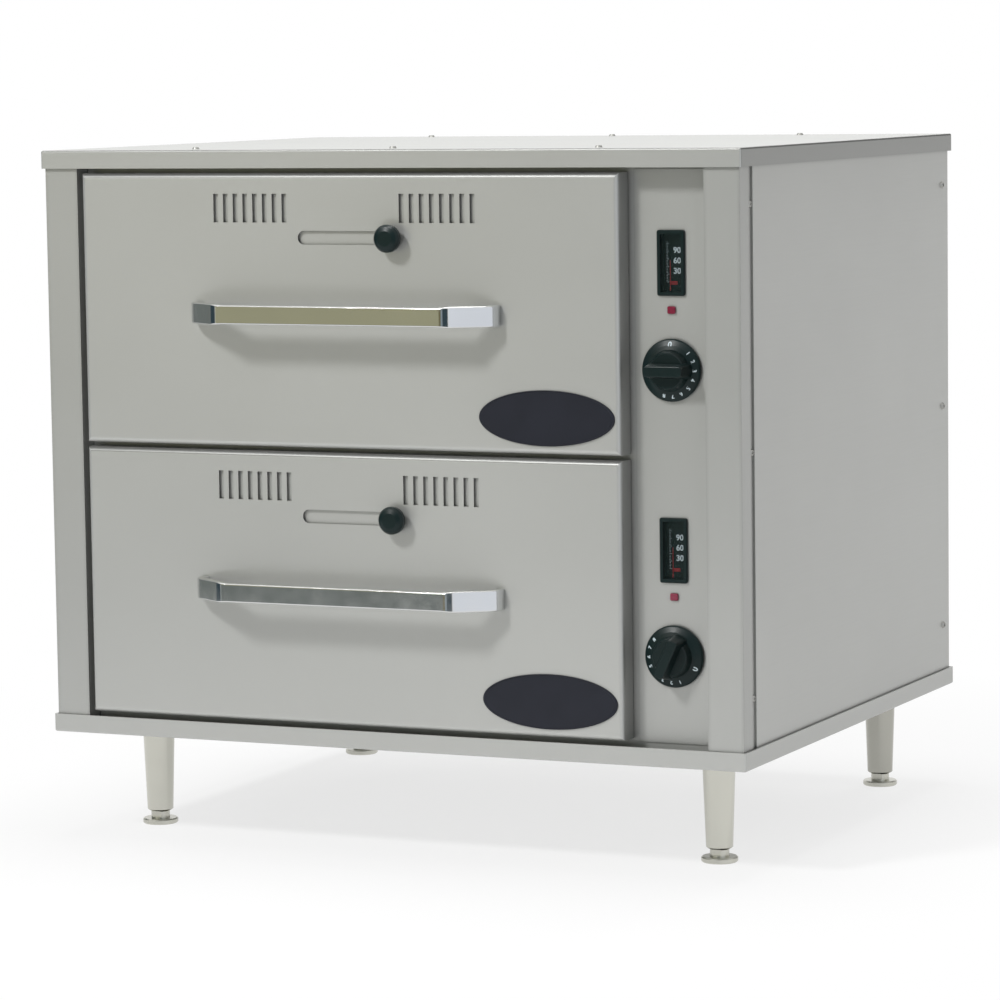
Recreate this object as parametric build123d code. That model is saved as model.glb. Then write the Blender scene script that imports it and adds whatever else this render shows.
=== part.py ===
"""Two-drawer countertop warming drawer: a sheet-steel cabinet on four adjustable legs.

Millimetres, +Z up, the front of the cabinet towards -Y and +X to the right as seen from the front.
Pieces are drawn round the middle of the cabinet's footprint and set down with the origin on the
floor under the middle of the whole unit, handles and cord gland included. Both drawers and their
controls are alike, so they are built once in heights above the bottom edge of their drawer front
and then lifted into place, one row above the other.
"""
from build123d import *
import math
import os

# ---- cabinet shell -----------------------------------------------------------------------
cabinet_width = 750.0  # over the lips of the top cover and the base pan
cabinet_depth = 612.0
cabinet_height = 586.0  # underside of the base pan to the top of the cover
leg_height = 106.0  # floor to underside of the base pan
trim_height = 18.0  # lips of the top cover and the base pan
trim_overhang = 3.3  # how far the lips stand out beyond the body
hem_thickness = 2.4  # the lips are folded double
trim_radius = 2.0
skin = 1.2  # cabinet sheet
bend = 1.6  # centre-line radius of a folded corner
seat_gap = 0.3  # named clearance of a piece that only rests against another

# ---- front of the cabinet ----------------------------------------------------------------
stile_width = 36.0  # front face of each corner post
post_return = 24.0  # depth of the post's outer return before its groove
groove_width = 10.0  # sunken lap between corner post and side panel, which takes the screws
groove_depth = 2.0
lap_flange = 20.0  # flange of the post under the side panel
frame_recess = 25.0  # front of the trims back to the face of the front frame
post_flange = 8.0  # flange of the post behind the front frame
back_flange = 40.0  # side flanges of the back panel, inside the side panels
panel_foot = 12.0  # inward flanges along the top and bottom of each side panel

# ---- drawer fronts -----------------------------------------------------------------------
reveal = 5.0  # gap above, between and below the drawer fronts
reveal_left = 6.5
reveal_right = 5.7  # drawer fronts to the control panel
front_gap = 1.0  # drawer front to front frame when shut
front_edge_radius = 5.0
front_skin = 1.2
overlap = 12.0  # drawer front laps the opening by this much all round
liner_inset = 1.2  # the liner sits this far inside the folded edge
liner_flange = 12.0
vent_slots = 8
vent_pitch = 10.75
vent_width = 5.2
vent_height = 28.0
vent_offset = 101.0  # middle of the drawer front to the middle of each group
vent_drop = 33.8  # top edge of the drawer front down to the middle of the slots
slider_drop = 62.5
slider_left = -48.8  # left end of the slider's slot from the middle of the drawer front
slider_length = 108.6
slider_height = 13.5

# ---- vent shutter ------------------------------------------------------------------------
shutter_thickness = 1.0
shutter_play = 0.4  # running clearance of the shutter in its guides
shutter_lap = 3.0  # how far the shutter reaches past the slots above and below
shutter_side_lap = 9.8  # how far each blade reaches past the outer slots of its group
guide_packer = 1.6  # front leaf of the guides, between the skin and the shutter
guide_lip = 4.0
guide_sheet = 1.0
vent_knob_diameter = 27.0
vent_knob_length = 17.0
vent_stem_diameter = 9.0
vent_knob_neck = 13.0
vent_rivet_diameter = 5.0
vent_rivet_head = 9.0
vent_rivet_height = 1.2

# ---- handle ------------------------------------------------------------------------------
handle_length = 330.0
handle_reach = 42.0  # front of the grip out from the drawer front
handle_foot = 12.0  # straight part of each end before it slopes inwards
handle_run = 38.0  # sideways run of the sloping part
handle_thickness = 9.0
handle_bend = 12.0
handle_end_height = 20.5
handle_grip_height = 18.5
handle_edge = 1.5
handle_drop = 136.0  # top edge of the drawer front down to the middle of the grip
handle_offset = 2.5
handle_ease = 6.0  # half the run over which the ends narrow to the grip
handle_screw = 5.0
handle_screw_length = 8.0
handle_screw_head = 8.8
handle_screw_height = 2.8

# ---- cavities, pans and runners ----------------------------------------------------------
cavity_rear_space = 132.0  # cabinet depth not taken up by a cavity
cavity_sheet = 1.0
cavity_flange = 8.0
pan_breadth = 324.0  # over the rim, front to back
pan_depth = 150.0
pan_rim = 12.0
pan_rim_height = 3.0
pan_corner = 46.0
pan_taper = 12.0  # how much each wall leans in towards the bottom
pan_sheet = 1.0
pan_bottom_radius = 14.0
pan_setback = 14.0  # pan rim behind the drawer front's liner
pan_headroom = 30.0  # top of the opening down to the seat of the pan rim
pan_frame_sheet = 1.5
pan_frame_web = 40.0
runner_height = 45.0
runner_sheet = 1.5
runner_depth = 12.5  # outer channel, wall to lips
runner_lip = 6.0
runner_play = 0.3
runner_rear_gap = 80.0  # cavity depth left free behind and before the runners
runner_setback = 4.0  # front of the runners behind the front frame
runner_drop = 24.0  # seat of the pan rim down to the middle of the runners
runner_side_gap = 2.0  # rail of the pan frame to the lips of the outer runner

# ---- heating and controls ----------------------------------------------------------------
element_diameter = 8.0
element_rise = 26.0
element_bend = 26.0
element_side = 78.0  # side wall of the cavity to the heater's outer run
element_front = 60.0  # front of the element behind the front frame
element_rear = 90.0  # rear of the element's loop before the back wall
element_tail = 26.0  # terminals behind the back wall
element_spacing = 70.0
clip_width = 14.0
clip_depth = 10.0
clip_wall = 2.0
control_panel_width = 76.0
control_panel_side = 3.2  # control panel to the right-hand stile
control_panel_sheet = 1.2
panel_margin = 2.0  # the control panel stops short of the trims by this much
window_land = 7.0  # seat of the control panel on the frame round its window
knob_rise = 80.8
lamp_step = 56.8  # knob up to lamp
gauge_step = 44.4  # lamp up to thermometer
gauge_width = 28.0
gauge_height = 62.0
gauge_proud = 3.0
gauge_depth = 38.0
gauge_frame = 3.5  # width of the bezel round the window
gauge_seat = 1.5  # bezel laps its cut-out by this much
gauge_window_depth = 8.0
gauge_glass = 1.2
gauge_tube = 1.6
gauge_tube_offset = 3.0  # left of the middle
lamp_width = 8.0
lamp_height = 7.0
lamp_proud = 2.4
lamp_body_diameter = 6.0
lamp_body_length = 24.0
lamp_tab_width = 2.8
lamp_tab_length = 7.0
lamp_tab_sheet = 0.8
knob_diameter = 59.5
knob_skirt = 5.0
knob_hub_diameter = 40.0
knob_height = 25.0
knob_grip_width = 12.0
knob_grip_corner = 6.0
knob_grip_taper = 10.0  # degrees
knob_gap = 1.5
knob_bore_depth = 18.0
knob_hub_height = 14.0
knob_rim = 1.6
knob_edge = 1.2
shaft_diameter = 6.0
shaft_flat = 1.5
shaft_flat_length = 20.0
shaft_end_gap = 0.5
shaft_fit = 0.05
shaft_clearance = 1.5  # round the shaft in the control panel
shaft_inside = 14.0  # end of the shaft inside the thermostat
thermostat_width = 44.0
thermostat_height = 40.0
thermostat_depth = 28.0
thermostat_plate_width = 52.0
thermostat_plate_height = 30.0
boss_diameter = 18.0
boss_length = 8.0
probe_diameter = 9.0
probe_length = 70.0
probe_outside = 30.0  # part of the probe outside the cavity wall
probe_setback = 40.0  # rear wall of the cavity to the probe
probe_drop = 45.0  # roof of the cavity to the probe
capillary_diameter = 2.6
capillary_loop = 30.0  # clear of the thermostat's back
capillary_stand = 14.0
capillary_bend = 8.0
insulation_rear = 48.0
insulation_side = 18.0
block_length = 60.0
block_width = 24.0
block_height = 16.0
block_pitch = 18.0
block_setback = 90.0
gland_bore = 12.0
gland_thread = 20.0
gland_thread_length = 12.0
gland_hex_width = 31.0
gland_hex_length = 6.0
gland_dome_length = 14.0
gland_dome_base = 26.0
gland_dome_tip = 20.0
gland_nut_width = 29.0
gland_nut_length = 5.0
gland_offset = 8.0  # right of the control panel's middle
gland_rise = 60.0  # above the base pan
back_slots = 10
back_slot_length = 58.0
back_slot_height = 4.5
back_slot_pitch = 11.0
back_slot_rise = 90.0

# ---- legs --------------------------------------------------------------------------------
leg_side_inset = 66.0  # side of the cabinet to the middle of each leg
leg_front_inset = 97.0
leg_rear_inset = 49.0
leg_top_diameter = 33.0
leg_bottom_diameter = 26.5
leg_edge = 0.8
foot_show = 14.0  # foot below the end of the leg's tube
foot_diameter = 36.0
foot_pad = 5.5
foot_neck_diameter = 19.0
foot_stem_diameter = 12.0
foot_stem_length = 55.0
foot_edge = 1.2
foot_flat_depth = 1.3
leg_bore_depth = 75.0
hole_play = 0.1  # screw holes are wider than the screws by this much all round
stem_fit = 0.08
leg_stud_diameter = 10.0
leg_stud_length = 14.0
leg_pad = 56.0
leg_pad_thickness = 3.0

# ---- screws ------------------------------------------------------------------------------
screw_head = 7.6
screw_head_height = 2.0
screw_shank = 4.0
screw_length = 9.0
side_screw_inset = 59.5
side_screw_lift = 6.0  # middle screws above the middle of the side
back_screw_inset = 20.8  # rear screws forward of the back panel's outer face
top_screw_side = 158.0
top_screw_inset = 34.0

# ---- places worked out from the sizes above ----------------------------------------------
base_z = leg_height
top_z = leg_height + cabinet_height
body_x = cabinet_width / 2 - trim_overhang
body_y = cabinet_depth / 2 - trim_overhang
front_y = -cabinet_depth / 2
frame_y = front_y + frame_recess
floor_z = base_z + skin
ceiling_z = top_z - skin
inner_height = ceiling_z - floor_z
front_height = (cabinet_height - 2 * trim_height - 3 * reveal) / 2
row_pitch = front_height + reveal
lower_z = base_z + trim_height + reveal
upper_z = lower_z + row_pitch
stile_x = body_x - stile_width
front_width = 2 * stile_x - reveal_left - reveal_right - control_panel_width - control_panel_side
drawer_x = -stile_x + reveal_left + front_width / 2
control_centre = stile_x - control_panel_side - control_panel_width / 2
front_back_y = frame_y - front_gap
liner_y = front_back_y - liner_inset
opening_x = front_width / 2 - overlap
opening_height = front_height - 2 * overlap
frame_back_y = frame_y + skin
cavity_depth = cabinet_depth - cavity_rear_space
cavity_back_y = frame_back_y + cavity_depth
seat_z = overlap + opening_height - pan_headroom
runner_z = seat_z - runner_drop
runner_y = frame_back_y + runner_setback
runner_length = cavity_depth - runner_rear_gap
rail_x = opening_x - runner_depth - runner_side_gap
pan_length = 2 * rail_x
pan_front_y = liner_y + pan_setback
vent_rise = front_height - vent_drop
slider_rise = front_height - slider_drop
handle_rise = front_height - handle_drop
lamp_rise = knob_rise + lamp_step
gauge_rise = lamp_rise + gauge_step
element_reach = opening_x - element_side
shutter_y = front_y + front_skin + guide_packer + shutter_play
shutter_travel = slider_length - slider_height
shutter_blade_width = vent_pitch * (vent_slots - 1) + vent_width + 2 * shutter_side_lap
shutter_reach = slider_left + slider_length + shutter_travel + shutter_lap
vent_knob_x = slider_left + slider_length / 2 + shutter_travel / 2
panel_y = frame_y - control_panel_sheet
gap_mouth = runner_height / 2 - runner_lip
front_reach = front_y - handle_reach
rear_reach = body_y + gland_hex_length + gland_dome_length
footprint_y = -(front_reach + rear_reach) / 2
rows = {"lower": lower_z, "upper": upper_z}
dial_turns = {"lower": 115.0, "upper": 0.0}  # degrees that each dial stands clockwise of zero


def folded(points, thickness, height, z, radius=0.0):
    """A sheet folded along a centre line seen in plan, standing on height z."""
    if radius:
        path = FilletPolyline(*points, radius=radius)
    else:
        path = Polyline(*points)
    return Pos(0, 0, z) * extrude(trace(path, thickness), height, dir=(0, 0, 1))


def along_y(sketch, y, depth):
    """Extrude a sketch drawn in X and Z from y towards the back."""
    plane = Plane(origin=(0, y, 0), x_dir=(1, 0, 0), z_dir=(0, -1, 0))
    return extrude(plane * sketch, -depth)


def turned(points, centre, axis=Axis.Z):
    """A turned piece from half its profile, stood upright on centre."""
    profile = make_face(Polyline(*points, close=True))
    solid = revolve(Plane.XZ * profile, Axis.Z)
    return Pos(*centre) * solid


def group(pieces):
    """Several separate solids that share one node."""
    return Compound([solid for piece in pieces for solid in piece.solids()])


def mirrored(part):
    """The same piece on the other side of the middle plane."""
    return mirror(part, Plane.YZ)


# ---- cabinet -----------------------------------------------------------------------------
def trim_tray():
    """Shallow tray with hemmed lips, open downwards, its closed face at height zero."""
    block = Pos(0, 0, -trim_height / 2) * Box(cabinet_width, cabinet_depth, trim_height)
    outside = block.edges().filter_by(Axis.Z) + block.faces().sort_by(Axis.Z)[-1].edges()
    block = fillet(outside, trim_radius)
    inner_w = cabinet_width - 2 * hem_thickness
    inner_d = cabinet_depth - 2 * hem_thickness
    return block - Pos(0, 0, -skin - trim_height / 2) * Box(inner_w, inner_d, trim_height)


def top_cover():
    cover = Pos(0, 0, top_z) * trim_tray()
    for x, y in top_screw_places():
        cover -= Pos(x, y, top_z) * Cylinder(screw_shank / 2 + hole_play, 3 * skin)
    return cover


def top_screw_places():
    rows_y = (front_y + top_screw_inset, -front_y - top_screw_inset)
    reach = cabinet_width / 2 - top_screw_side
    return [(x, y) for y in rows_y for x in (-reach, 0, reach)]


def leg_places():
    x = cabinet_width / 2 - leg_side_inset
    front = leg_front_inset - cabinet_depth / 2
    rear = cabinet_depth / 2 - leg_rear_inset
    return {
        "front_left": (-x, front),
        "front_right": (x, front),
        "rear_left": (-x, rear),
        "rear_right": (x, rear),
    }


def base_pan():
    """Base tray with a doubling pad over each leg."""
    pan = Pos(0, 0, base_z) * Rot(180, 0, 0) * trim_tray()
    for x, y in leg_places().values():
        pan += Pos(x, y, floor_z + leg_pad_thickness / 2) * Box(leg_pad, leg_pad, leg_pad_thickness)
    for x, y in leg_places().values():
        pan -= Pos(x, y, floor_z) * Cylinder(leg_stud_diameter / 2 + stem_fit, 4 * leg_pad_thickness)
    return pan


def side_panel():
    """Right side: flat sheet, sunken front edge for the screws, feet turned in at both ends."""
    face_x = body_x - skin / 2
    sunk_x = face_x - groove_depth
    start_y = -body_y + post_return
    rear_y = body_y - skin
    line = [(sunk_x, start_y), (sunk_x, start_y + groove_width), (face_x, start_y + groove_width)]
    line += [(face_x, rear_y)]
    panel = folded(line, skin, inner_height, floor_z)
    foot_length = rear_y - back_flange - start_y - 2 * lap_flange
    foot_y = start_y + 2 * lap_flange + foot_length / 2
    for z in (floor_z + skin / 2, ceiling_z - skin / 2):
        panel += Pos(face_x - panel_foot / 2, foot_y, z) * Box(panel_foot, foot_length, skin)
    for z in side_screw_heights():
        for x, y in side_screw_lines():
            panel -= Pos(x, y, z) * Rot(0, 90, 0) * Cylinder(screw_shank / 2 + hole_play, 6 * skin)
    return panel


def side_screw_heights():
    middle = base_z + cabinet_height / 2 + side_screw_lift
    pitch = cabinet_height / 2 - side_screw_inset
    return [middle - pitch, middle, middle + pitch]


def side_screw_lines():
    """Plan positions of the screw heads' seats on the right side, front groove and rear."""
    front = (body_x - groove_depth, -body_y + post_return + groove_width / 2)
    rear = (body_x, body_y - back_screw_inset)
    return [front, rear]


def corner_post():
    """Right front post: stile, outer return, sunken lap flange, and a flange behind the frame."""
    outer_x = body_x - skin / 2
    inner_x = body_x - stile_width + skin / 2
    lap_x = outer_x - groove_depth - skin
    face_y = -body_y + skin / 2
    groove_y = -body_y + post_return - skin / 2
    flange_y = frame_back_y + skin / 2
    line = [(lap_x, groove_y + lap_flange), (lap_x, groove_y), (outer_x, groove_y)]
    line += [(outer_x, face_y), (inner_x, face_y), (inner_x, flange_y)]
    line += [(inner_x - post_flange, flange_y)]
    post = folded(line, skin, inner_height, floor_z)
    for z in side_screw_heights():
        hole = Cylinder(screw_shank / 2 + hole_play, 4 * skin)
        post -= Pos(lap_x, side_screw_lines()[0][1], z) * Rot(0, 90, 0) * hole
    return post


def back_panel():
    """Back with side flanges, cooling slots behind the controls and the cord gland's hole."""
    face_y = body_y - skin / 2
    side_x = body_x - skin * 1.5
    line = [(-side_x, face_y - back_flange), (-side_x, face_y), (side_x, face_y)]
    line += [(side_x, face_y - back_flange)]
    panel = folded(line, skin, inner_height, floor_z, bend)
    slot = Box(back_slot_length, 4 * skin, back_slot_height)
    for z0 in rows.values():
        heights = [z0 + back_slot_rise + back_slot_pitch * n for n in range(back_slots)]
        panel -= [Pos(control_centre + gland_offset, face_y, z) * slot for z in heights]
    gland = gland_place()
    panel -= Pos(gland.X, face_y, gland.Z) * Rot(90, 0, 0) * Cylinder(gland_thread / 2 + hole_play, 8 * skin)
    for z in side_screw_heights():
        for side in (-1, 1):
            hole = Cylinder(screw_shank / 2 + hole_play, 4 * skin)
            panel -= Pos(side * side_x, body_y - back_screw_inset, z) * Rot(0, 90, 0) * hole
    return panel


def front_frame():
    """Flat face frame with one opening for each drawer and one behind the control panel."""
    half_x = body_x - stile_width - seat_gap
    sheet = Pos(0, frame_y + skin / 2, (floor_z + ceiling_z) / 2) * Box(2 * half_x, skin, inner_height)
    for z0 in rows.values():
        z = z0 + overlap + opening_height / 2
        sheet -= Pos(drawer_x, frame_y, z) * Box(2 * opening_x, 4 * skin, opening_height)
    window_w = control_panel_width - 2 * window_land
    window_h = cabinet_height - 2 * trim_height - 2 * window_land - 2 * panel_margin
    window_z = base_z + cabinet_height / 2
    sheet -= Pos(control_centre, frame_y, window_z) * Box(window_w, 4 * skin, window_h)
    return sheet


def control_panel():
    """Plate in front of the frame with the cut-outs of both rows of controls."""
    height = cabinet_height - 2 * trim_height - 2 * panel_margin
    plate = Pos(control_centre, panel_y + control_panel_sheet / 2, base_z + cabinet_height / 2)
    plate = plate * Box(control_panel_width, control_panel_sheet, height)
    plate = fillet(plate.edges().filter_by(Axis.Y), 1.5)
    for z0 in rows.values():
        through = 4 * control_panel_sheet
        cut = Box(gauge_width - 2 * gauge_seat, through, gauge_height - 2 * gauge_seat)
        plate -= Pos(control_centre, panel_y, z0 + gauge_rise) * cut
        hole = Rot(90, 0, 0) * Cylinder(lamp_body_diameter / 2 + shaft_fit, through)
        plate -= Pos(control_centre, panel_y, z0 + lamp_rise) * hole
        hole = Rot(90, 0, 0) * Cylinder(shaft_diameter / 2 + shaft_clearance, through)
        plate -= Pos(control_centre, panel_y, z0 + knob_rise) * hole
    return plate


def cavity():
    """Open-fronted drawer cavity with a flange against the front frame, on its row's heights."""
    width = 2 * (opening_x + cavity_sheet)
    height = opening_height + 2 * cavity_sheet
    z = overlap + opening_height / 2
    y0 = frame_back_y
    box = Pos(drawer_x, y0 + cavity_depth / 2, z) * Box(width, cavity_depth, height)
    rim = Box(width + 2 * cavity_flange, cavity_sheet, height + 2 * cavity_flange)
    box += Pos(drawer_x, y0 + cavity_sheet / 2, z) * rim
    inside = Box(2 * opening_x, cavity_depth, opening_height)
    box -= Pos(drawer_x, y0 + cavity_depth / 2 - cavity_sheet, z) * inside
    for side in (-1, 1):
        hole = Rot(90, 0, 0) * Cylinder(element_diameter / 2 + stem_fit, 10)
        place = (drawer_x + side * element_spacing / 2, cavity_back_y, overlap + element_rise)
        box -= Pos(*place) * hole
    wall = Rot(0, 90, 0) * Cylinder(probe_diameter / 2 + stem_fit, 10)
    return box - Pos(drawer_x + opening_x, probe_y(), probe_z()) * wall


def probe_y():
    return cavity_back_y - probe_setback


def probe_z():
    return overlap + opening_height - probe_drop


def insulation_pads():
    """Mineral-wool slabs round and between the two cavities."""
    left_x = -(body_x - skin) + seat_gap
    right_x = drawer_x + opening_x + cavity_sheet + insulation_side
    wall_x = opening_x + cavity_sheet + seat_gap
    y0 = frame_back_y + cavity_sheet + seat_gap
    y1 = cavity_back_y + insulation_rear
    pads = []

    def slab(xa, xb, ya, yb, za, zb):
        pads.append(Pos((xa + xb) / 2, (ya + yb) / 2, (za + zb) / 2) * Box(xb - xa, yb - ya, zb - za))

    low = base_z + leg_stud_length + seat_gap
    high = top_z - screw_length - seat_gap
    floor_of = [z0 + overlap - cavity_sheet - seat_gap for z0 in rows.values()]
    roof_of = [z0 + overlap + opening_height + cavity_sheet + seat_gap for z0 in rows.values()]
    side_y = -body_y + post_return + lap_flange + skin
    slab(left_x, drawer_x - wall_x, side_y, y1, low, high)
    slab(drawer_x + wall_x, right_x, y0, y1, low, high)
    spans = [(low, floor_of[0]), (roof_of[0], floor_of[1]), (roof_of[1], high)]
    for za, zb in spans:
        slab(drawer_x - wall_x + seat_gap, drawer_x + wall_x - seat_gap, y0, y1, za, zb)
    for z0 in rows.values():
        za = z0 + overlap - cavity_sheet
        zb = z0 + overlap + opening_height + cavity_sheet
        back = cavity_back_y + seat_gap
        slab(drawer_x - wall_x + seat_gap, drawer_x + wall_x - seat_gap, back, y1, za, zb)
    pads = [pad - element_tunnels() - probe_tunnels() for pad in pads]
    return group(pads)


def element_tunnels():
    """Clear way for the heater terminals through the rear slabs."""
    tunnels = []
    for z0 in rows.values():
        for side in (-1, 1):
            x = drawer_x + side * element_spacing / 2
            tube = Rot(90, 0, 0) * Cylinder(element_diameter / 2 + 3 * seat_gap, 4 * element_tail)
            tunnels.append(Pos(x, cavity_back_y + 2 * element_tail, z0 + overlap + element_rise) * tube)
    return tunnels


def probe_tunnels():
    """Clear way for the thermostat probes through the right-hand slab."""
    tube = Rot(0, 90, 0) * Cylinder(probe_diameter / 2 + 3 * seat_gap, 3 * insulation_side)
    x = drawer_x + opening_x + insulation_side
    return [Pos(x, probe_y(), z0 + probe_z()) * tube for z0 in rows.values()]


# ---- heating and controls ----------------------------------------------------------------
def heating_element():
    """Sheathed tubular heater looped over the cavity floor, on three standing clips."""
    half = element_spacing / 2
    y_end = cavity_back_y + element_tail
    y_rear = cavity_back_y - element_rear
    y_front = frame_back_y + element_front
    reach = element_reach
    line = [(-half, y_end), (-half, y_rear), (-reach, y_rear), (-reach, y_front)]
    line += [(reach, y_front), (reach, y_rear), (half, y_rear), (half, y_end)]
    path = FilletPolyline(*line, radius=element_bend)
    ring = Plane(origin=path @ 0, z_dir=path % 0) * Circle(element_diameter / 2)
    tube = sweep(ring, path)
    z = overlap + element_rise
    pieces = [Pos(drawer_x, 0, z) * tube]
    for x, y, turn in ((-reach, 0, 0), (reach, 0, 0), (0, y_front, 90)):
        clip_height = element_rise + element_diameter / 2 + clip_wall
        clip = Pos(0, 0, clip_height / 2) * Box(clip_width, clip_depth, clip_height)
        bore = Rot(90, 0, 0) * Cylinder(element_diameter / 2 + stem_fit, 2 * clip_depth)
        clip -= Pos(0, 0, element_rise) * bore
        pieces.append(Pos(drawer_x + x, y, overlap) * Rot(0, 0, turn) * clip)
    return group(pieces)


def thermostat():
    """Capillary thermostat behind the control panel, with its probe through the cavity wall."""
    back_y = panel_y + control_panel_sheet
    x = control_centre
    z = knob_rise
    plate = Box(thermostat_plate_width, skin, thermostat_plate_height)
    plate = Pos(x, back_y + skin / 2, z) * plate
    body = Pos(x, back_y + skin + thermostat_depth / 2, z)
    body = body * Box(thermostat_width, thermostat_depth, thermostat_height)
    body = fillet(body.edges().filter_by(Axis.Y), capillary_diameter)
    case_back = back_y + skin + thermostat_depth + boss_length
    boss = Rot(90, 0, 0) * Cylinder(boss_diameter / 2, boss_length)
    boss = Pos(x, case_back - boss_length / 2, z) * boss
    hole = Rot(90, 0, 0) * Cylinder(shaft_diameter / 2 + shaft_fit, 3 * shaft_inside)
    case = plate + body + boss - Pos(x, back_y, z) * hole
    wall_x = drawer_x + opening_x
    probe_x = wall_x - probe_length / 2 + probe_outside
    probe = Pos(probe_x, probe_y(), probe_z()) * Rot(0, 90, 0) * Cylinder(probe_diameter / 2, probe_length)
    end_x = probe_x + probe_length / 2
    turn_x = end_x + capillary_stand
    loop_y = case_back + capillary_loop
    run = [(end_x - 1, probe_y(), probe_z()), (turn_x, probe_y(), probe_z())]
    run += [(turn_x, loop_y, probe_z()), (turn_x, loop_y, z), (x, loop_y, z), (x, case_back - 1, z)]
    path = FilletPolyline(*run, radius=capillary_bend)
    ring = Plane(origin=path @ 0, z_dir=path % 0) * Circle(capillary_diameter / 2)
    return case + sweep(ring, path) + probe


def thermostat_shaft():
    """D-section control shaft from inside the thermostat to inside the knob."""
    back_y = panel_y + control_panel_sheet + shaft_inside
    length = back_y - (panel_y - knob_gap - knob_bore_depth + shaft_end_gap)
    shaft = Rot(90, 0, 0) * Cylinder(shaft_diameter / 2, length)
    flat = Box(2 * shaft_diameter, shaft_flat_length, shaft_diameter)
    shaft -= Pos(0, (shaft_flat_length - length) / 2, shaft_diameter - shaft_flat) * flat
    return Pos(control_centre, back_y - length / 2, knob_rise) * shaft


def thermostat_knob():
    """Skirted dial knob with a waisted finger grip across its hub."""
    r = knob_diameter / 2
    hub = knob_hub_diameter / 2
    outline = [(0, 0), (r, 0), (r, knob_rim), (r - knob_edge, knob_rim + knob_edge)]
    outline += [(hub + knob_skirt - knob_edge, knob_skirt), (hub, knob_skirt + knob_edge)]
    outline += [(hub - 2 * knob_edge, knob_hub_height - knob_edge)]
    outline += [(hub - 3 * knob_edge, knob_hub_height), (0, knob_hub_height)]
    dial = turned(outline, (0, 0, 0))
    rise = knob_height - knob_skirt
    foot = RectangleRounded(2 * hub + knob_skirt, knob_grip_width + knob_skirt, knob_grip_corner)
    grip = Pos(0, 0, knob_skirt) * extrude(foot, rise, taper=knob_grip_taper)
    grip = fillet(grip.faces().sort_by(Axis.Z)[-1].edges(), knob_edge)
    bore = Cylinder(shaft_diameter / 2 + shaft_fit, 2 * knob_bore_depth)
    key_y = shaft_diameter / 2 - shaft_flat + shaft_fit
    flat = Box(knob_hub_diameter, shaft_diameter, 2 * knob_height)
    bore -= Pos(0, key_y + shaft_diameter / 2, 0) * flat
    knob = dial + grip - bore
    return Pos(control_centre, panel_y - knob_gap, knob_rise) * Rot(90, 0, 0) * knob


def thermometer():
    """Upright panel thermometer: bezel, case, sunken scale plate, glass tube and cover glass."""
    z = gauge_rise
    x = control_centre
    bezel = Pos(x, panel_y - gauge_proud / 2, z) * Box(gauge_width, gauge_proud, gauge_height)
    bezel = fillet(bezel.edges().filter_by(Axis.Y), 2)
    bezel = chamfer(bezel.faces().sort_by(Axis.Y)[0].edges(), gauge_proud * 0.3)
    case_w = gauge_width - 2 * gauge_seat - 2 * seat_gap
    case_h = gauge_height - 2 * gauge_seat - 2 * seat_gap
    case = bezel + Pos(x, panel_y + gauge_depth / 2, z) * Box(case_w, gauge_depth, case_h)
    window_w = gauge_width - 2 * gauge_frame
    window_h = gauge_height - 2 * gauge_frame
    front = panel_y - gauge_proud
    window = Box(window_w, gauge_window_depth, window_h)
    case -= Pos(x, front + gauge_window_depth / 2, z) * window
    tube_y = front + gauge_window_depth - gauge_tube / 2
    tube = Cylinder(gauge_tube / 2, window_h - gauge_seat)
    tube = Pos(x - gauge_tube_offset, tube_y, z - gauge_seat / 2) * tube
    glass = Pos(x, front + gauge_seat, z) * Box(window_w, gauge_glass, window_h)
    return group([case, tube, glass])


def pilot_lamp():
    """Push-in pilot lamp: square lens, round body through the panel and two tabs."""
    lens = Pos(0, 0, lamp_proud / 2) * Box(lamp_width, lamp_height, lamp_proud)
    lens = fillet(lens.edges().filter_by(Axis.Z), lamp_proud / 2)
    lens = chamfer(lens.faces().sort_by(Axis.Z)[0].edges(), lamp_proud / 4)
    body = Cylinder(lamp_body_diameter / 2 - shaft_fit, lamp_body_length)
    lamp = lens + Pos(0, 0, lamp_proud + lamp_body_length / 2) * body
    tab_z = lamp_proud + lamp_body_length + lamp_tab_length / 2 - 1
    for side in (-1, 1):
        tab = Box(lamp_tab_sheet, lamp_tab_width, lamp_tab_length)
        lamp += Pos(side * lamp_body_diameter / 4, 0, tab_z) * tab
    return Pos(control_centre, panel_y - lamp_proud, lamp_rise) * Rot(-90, 0, 0) * lamp


def terminal_block():
    """Three-pole mains terminal block on the floor of the control compartment."""
    block = Box(block_length, block_width, block_height)
    pocket = Box(block_pitch * 2 / 3, block_width * 2 / 3, block_height)
    rib = Box(block_pitch / 9, block_width, block_height / 2)
    screw = Cylinder(block_pitch / 5, block_height / 3)
    for n in (-1, 0, 1):
        block -= Pos(block_pitch * n, 0, block_height / 2) * pocket
        block += Pos(block_pitch * n, 0, block_height / 6) * screw
    for n in (-0.5, 0.5):
        block += Pos(block_pitch * n, 0, block_height / 2) * rib
    return Pos(control_centre, body_y - block_setback, floor_z + block_height / 2) * block


def gland_place():
    return Vector(control_centre + gland_offset, body_y, floor_z + gland_rise)


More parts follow.
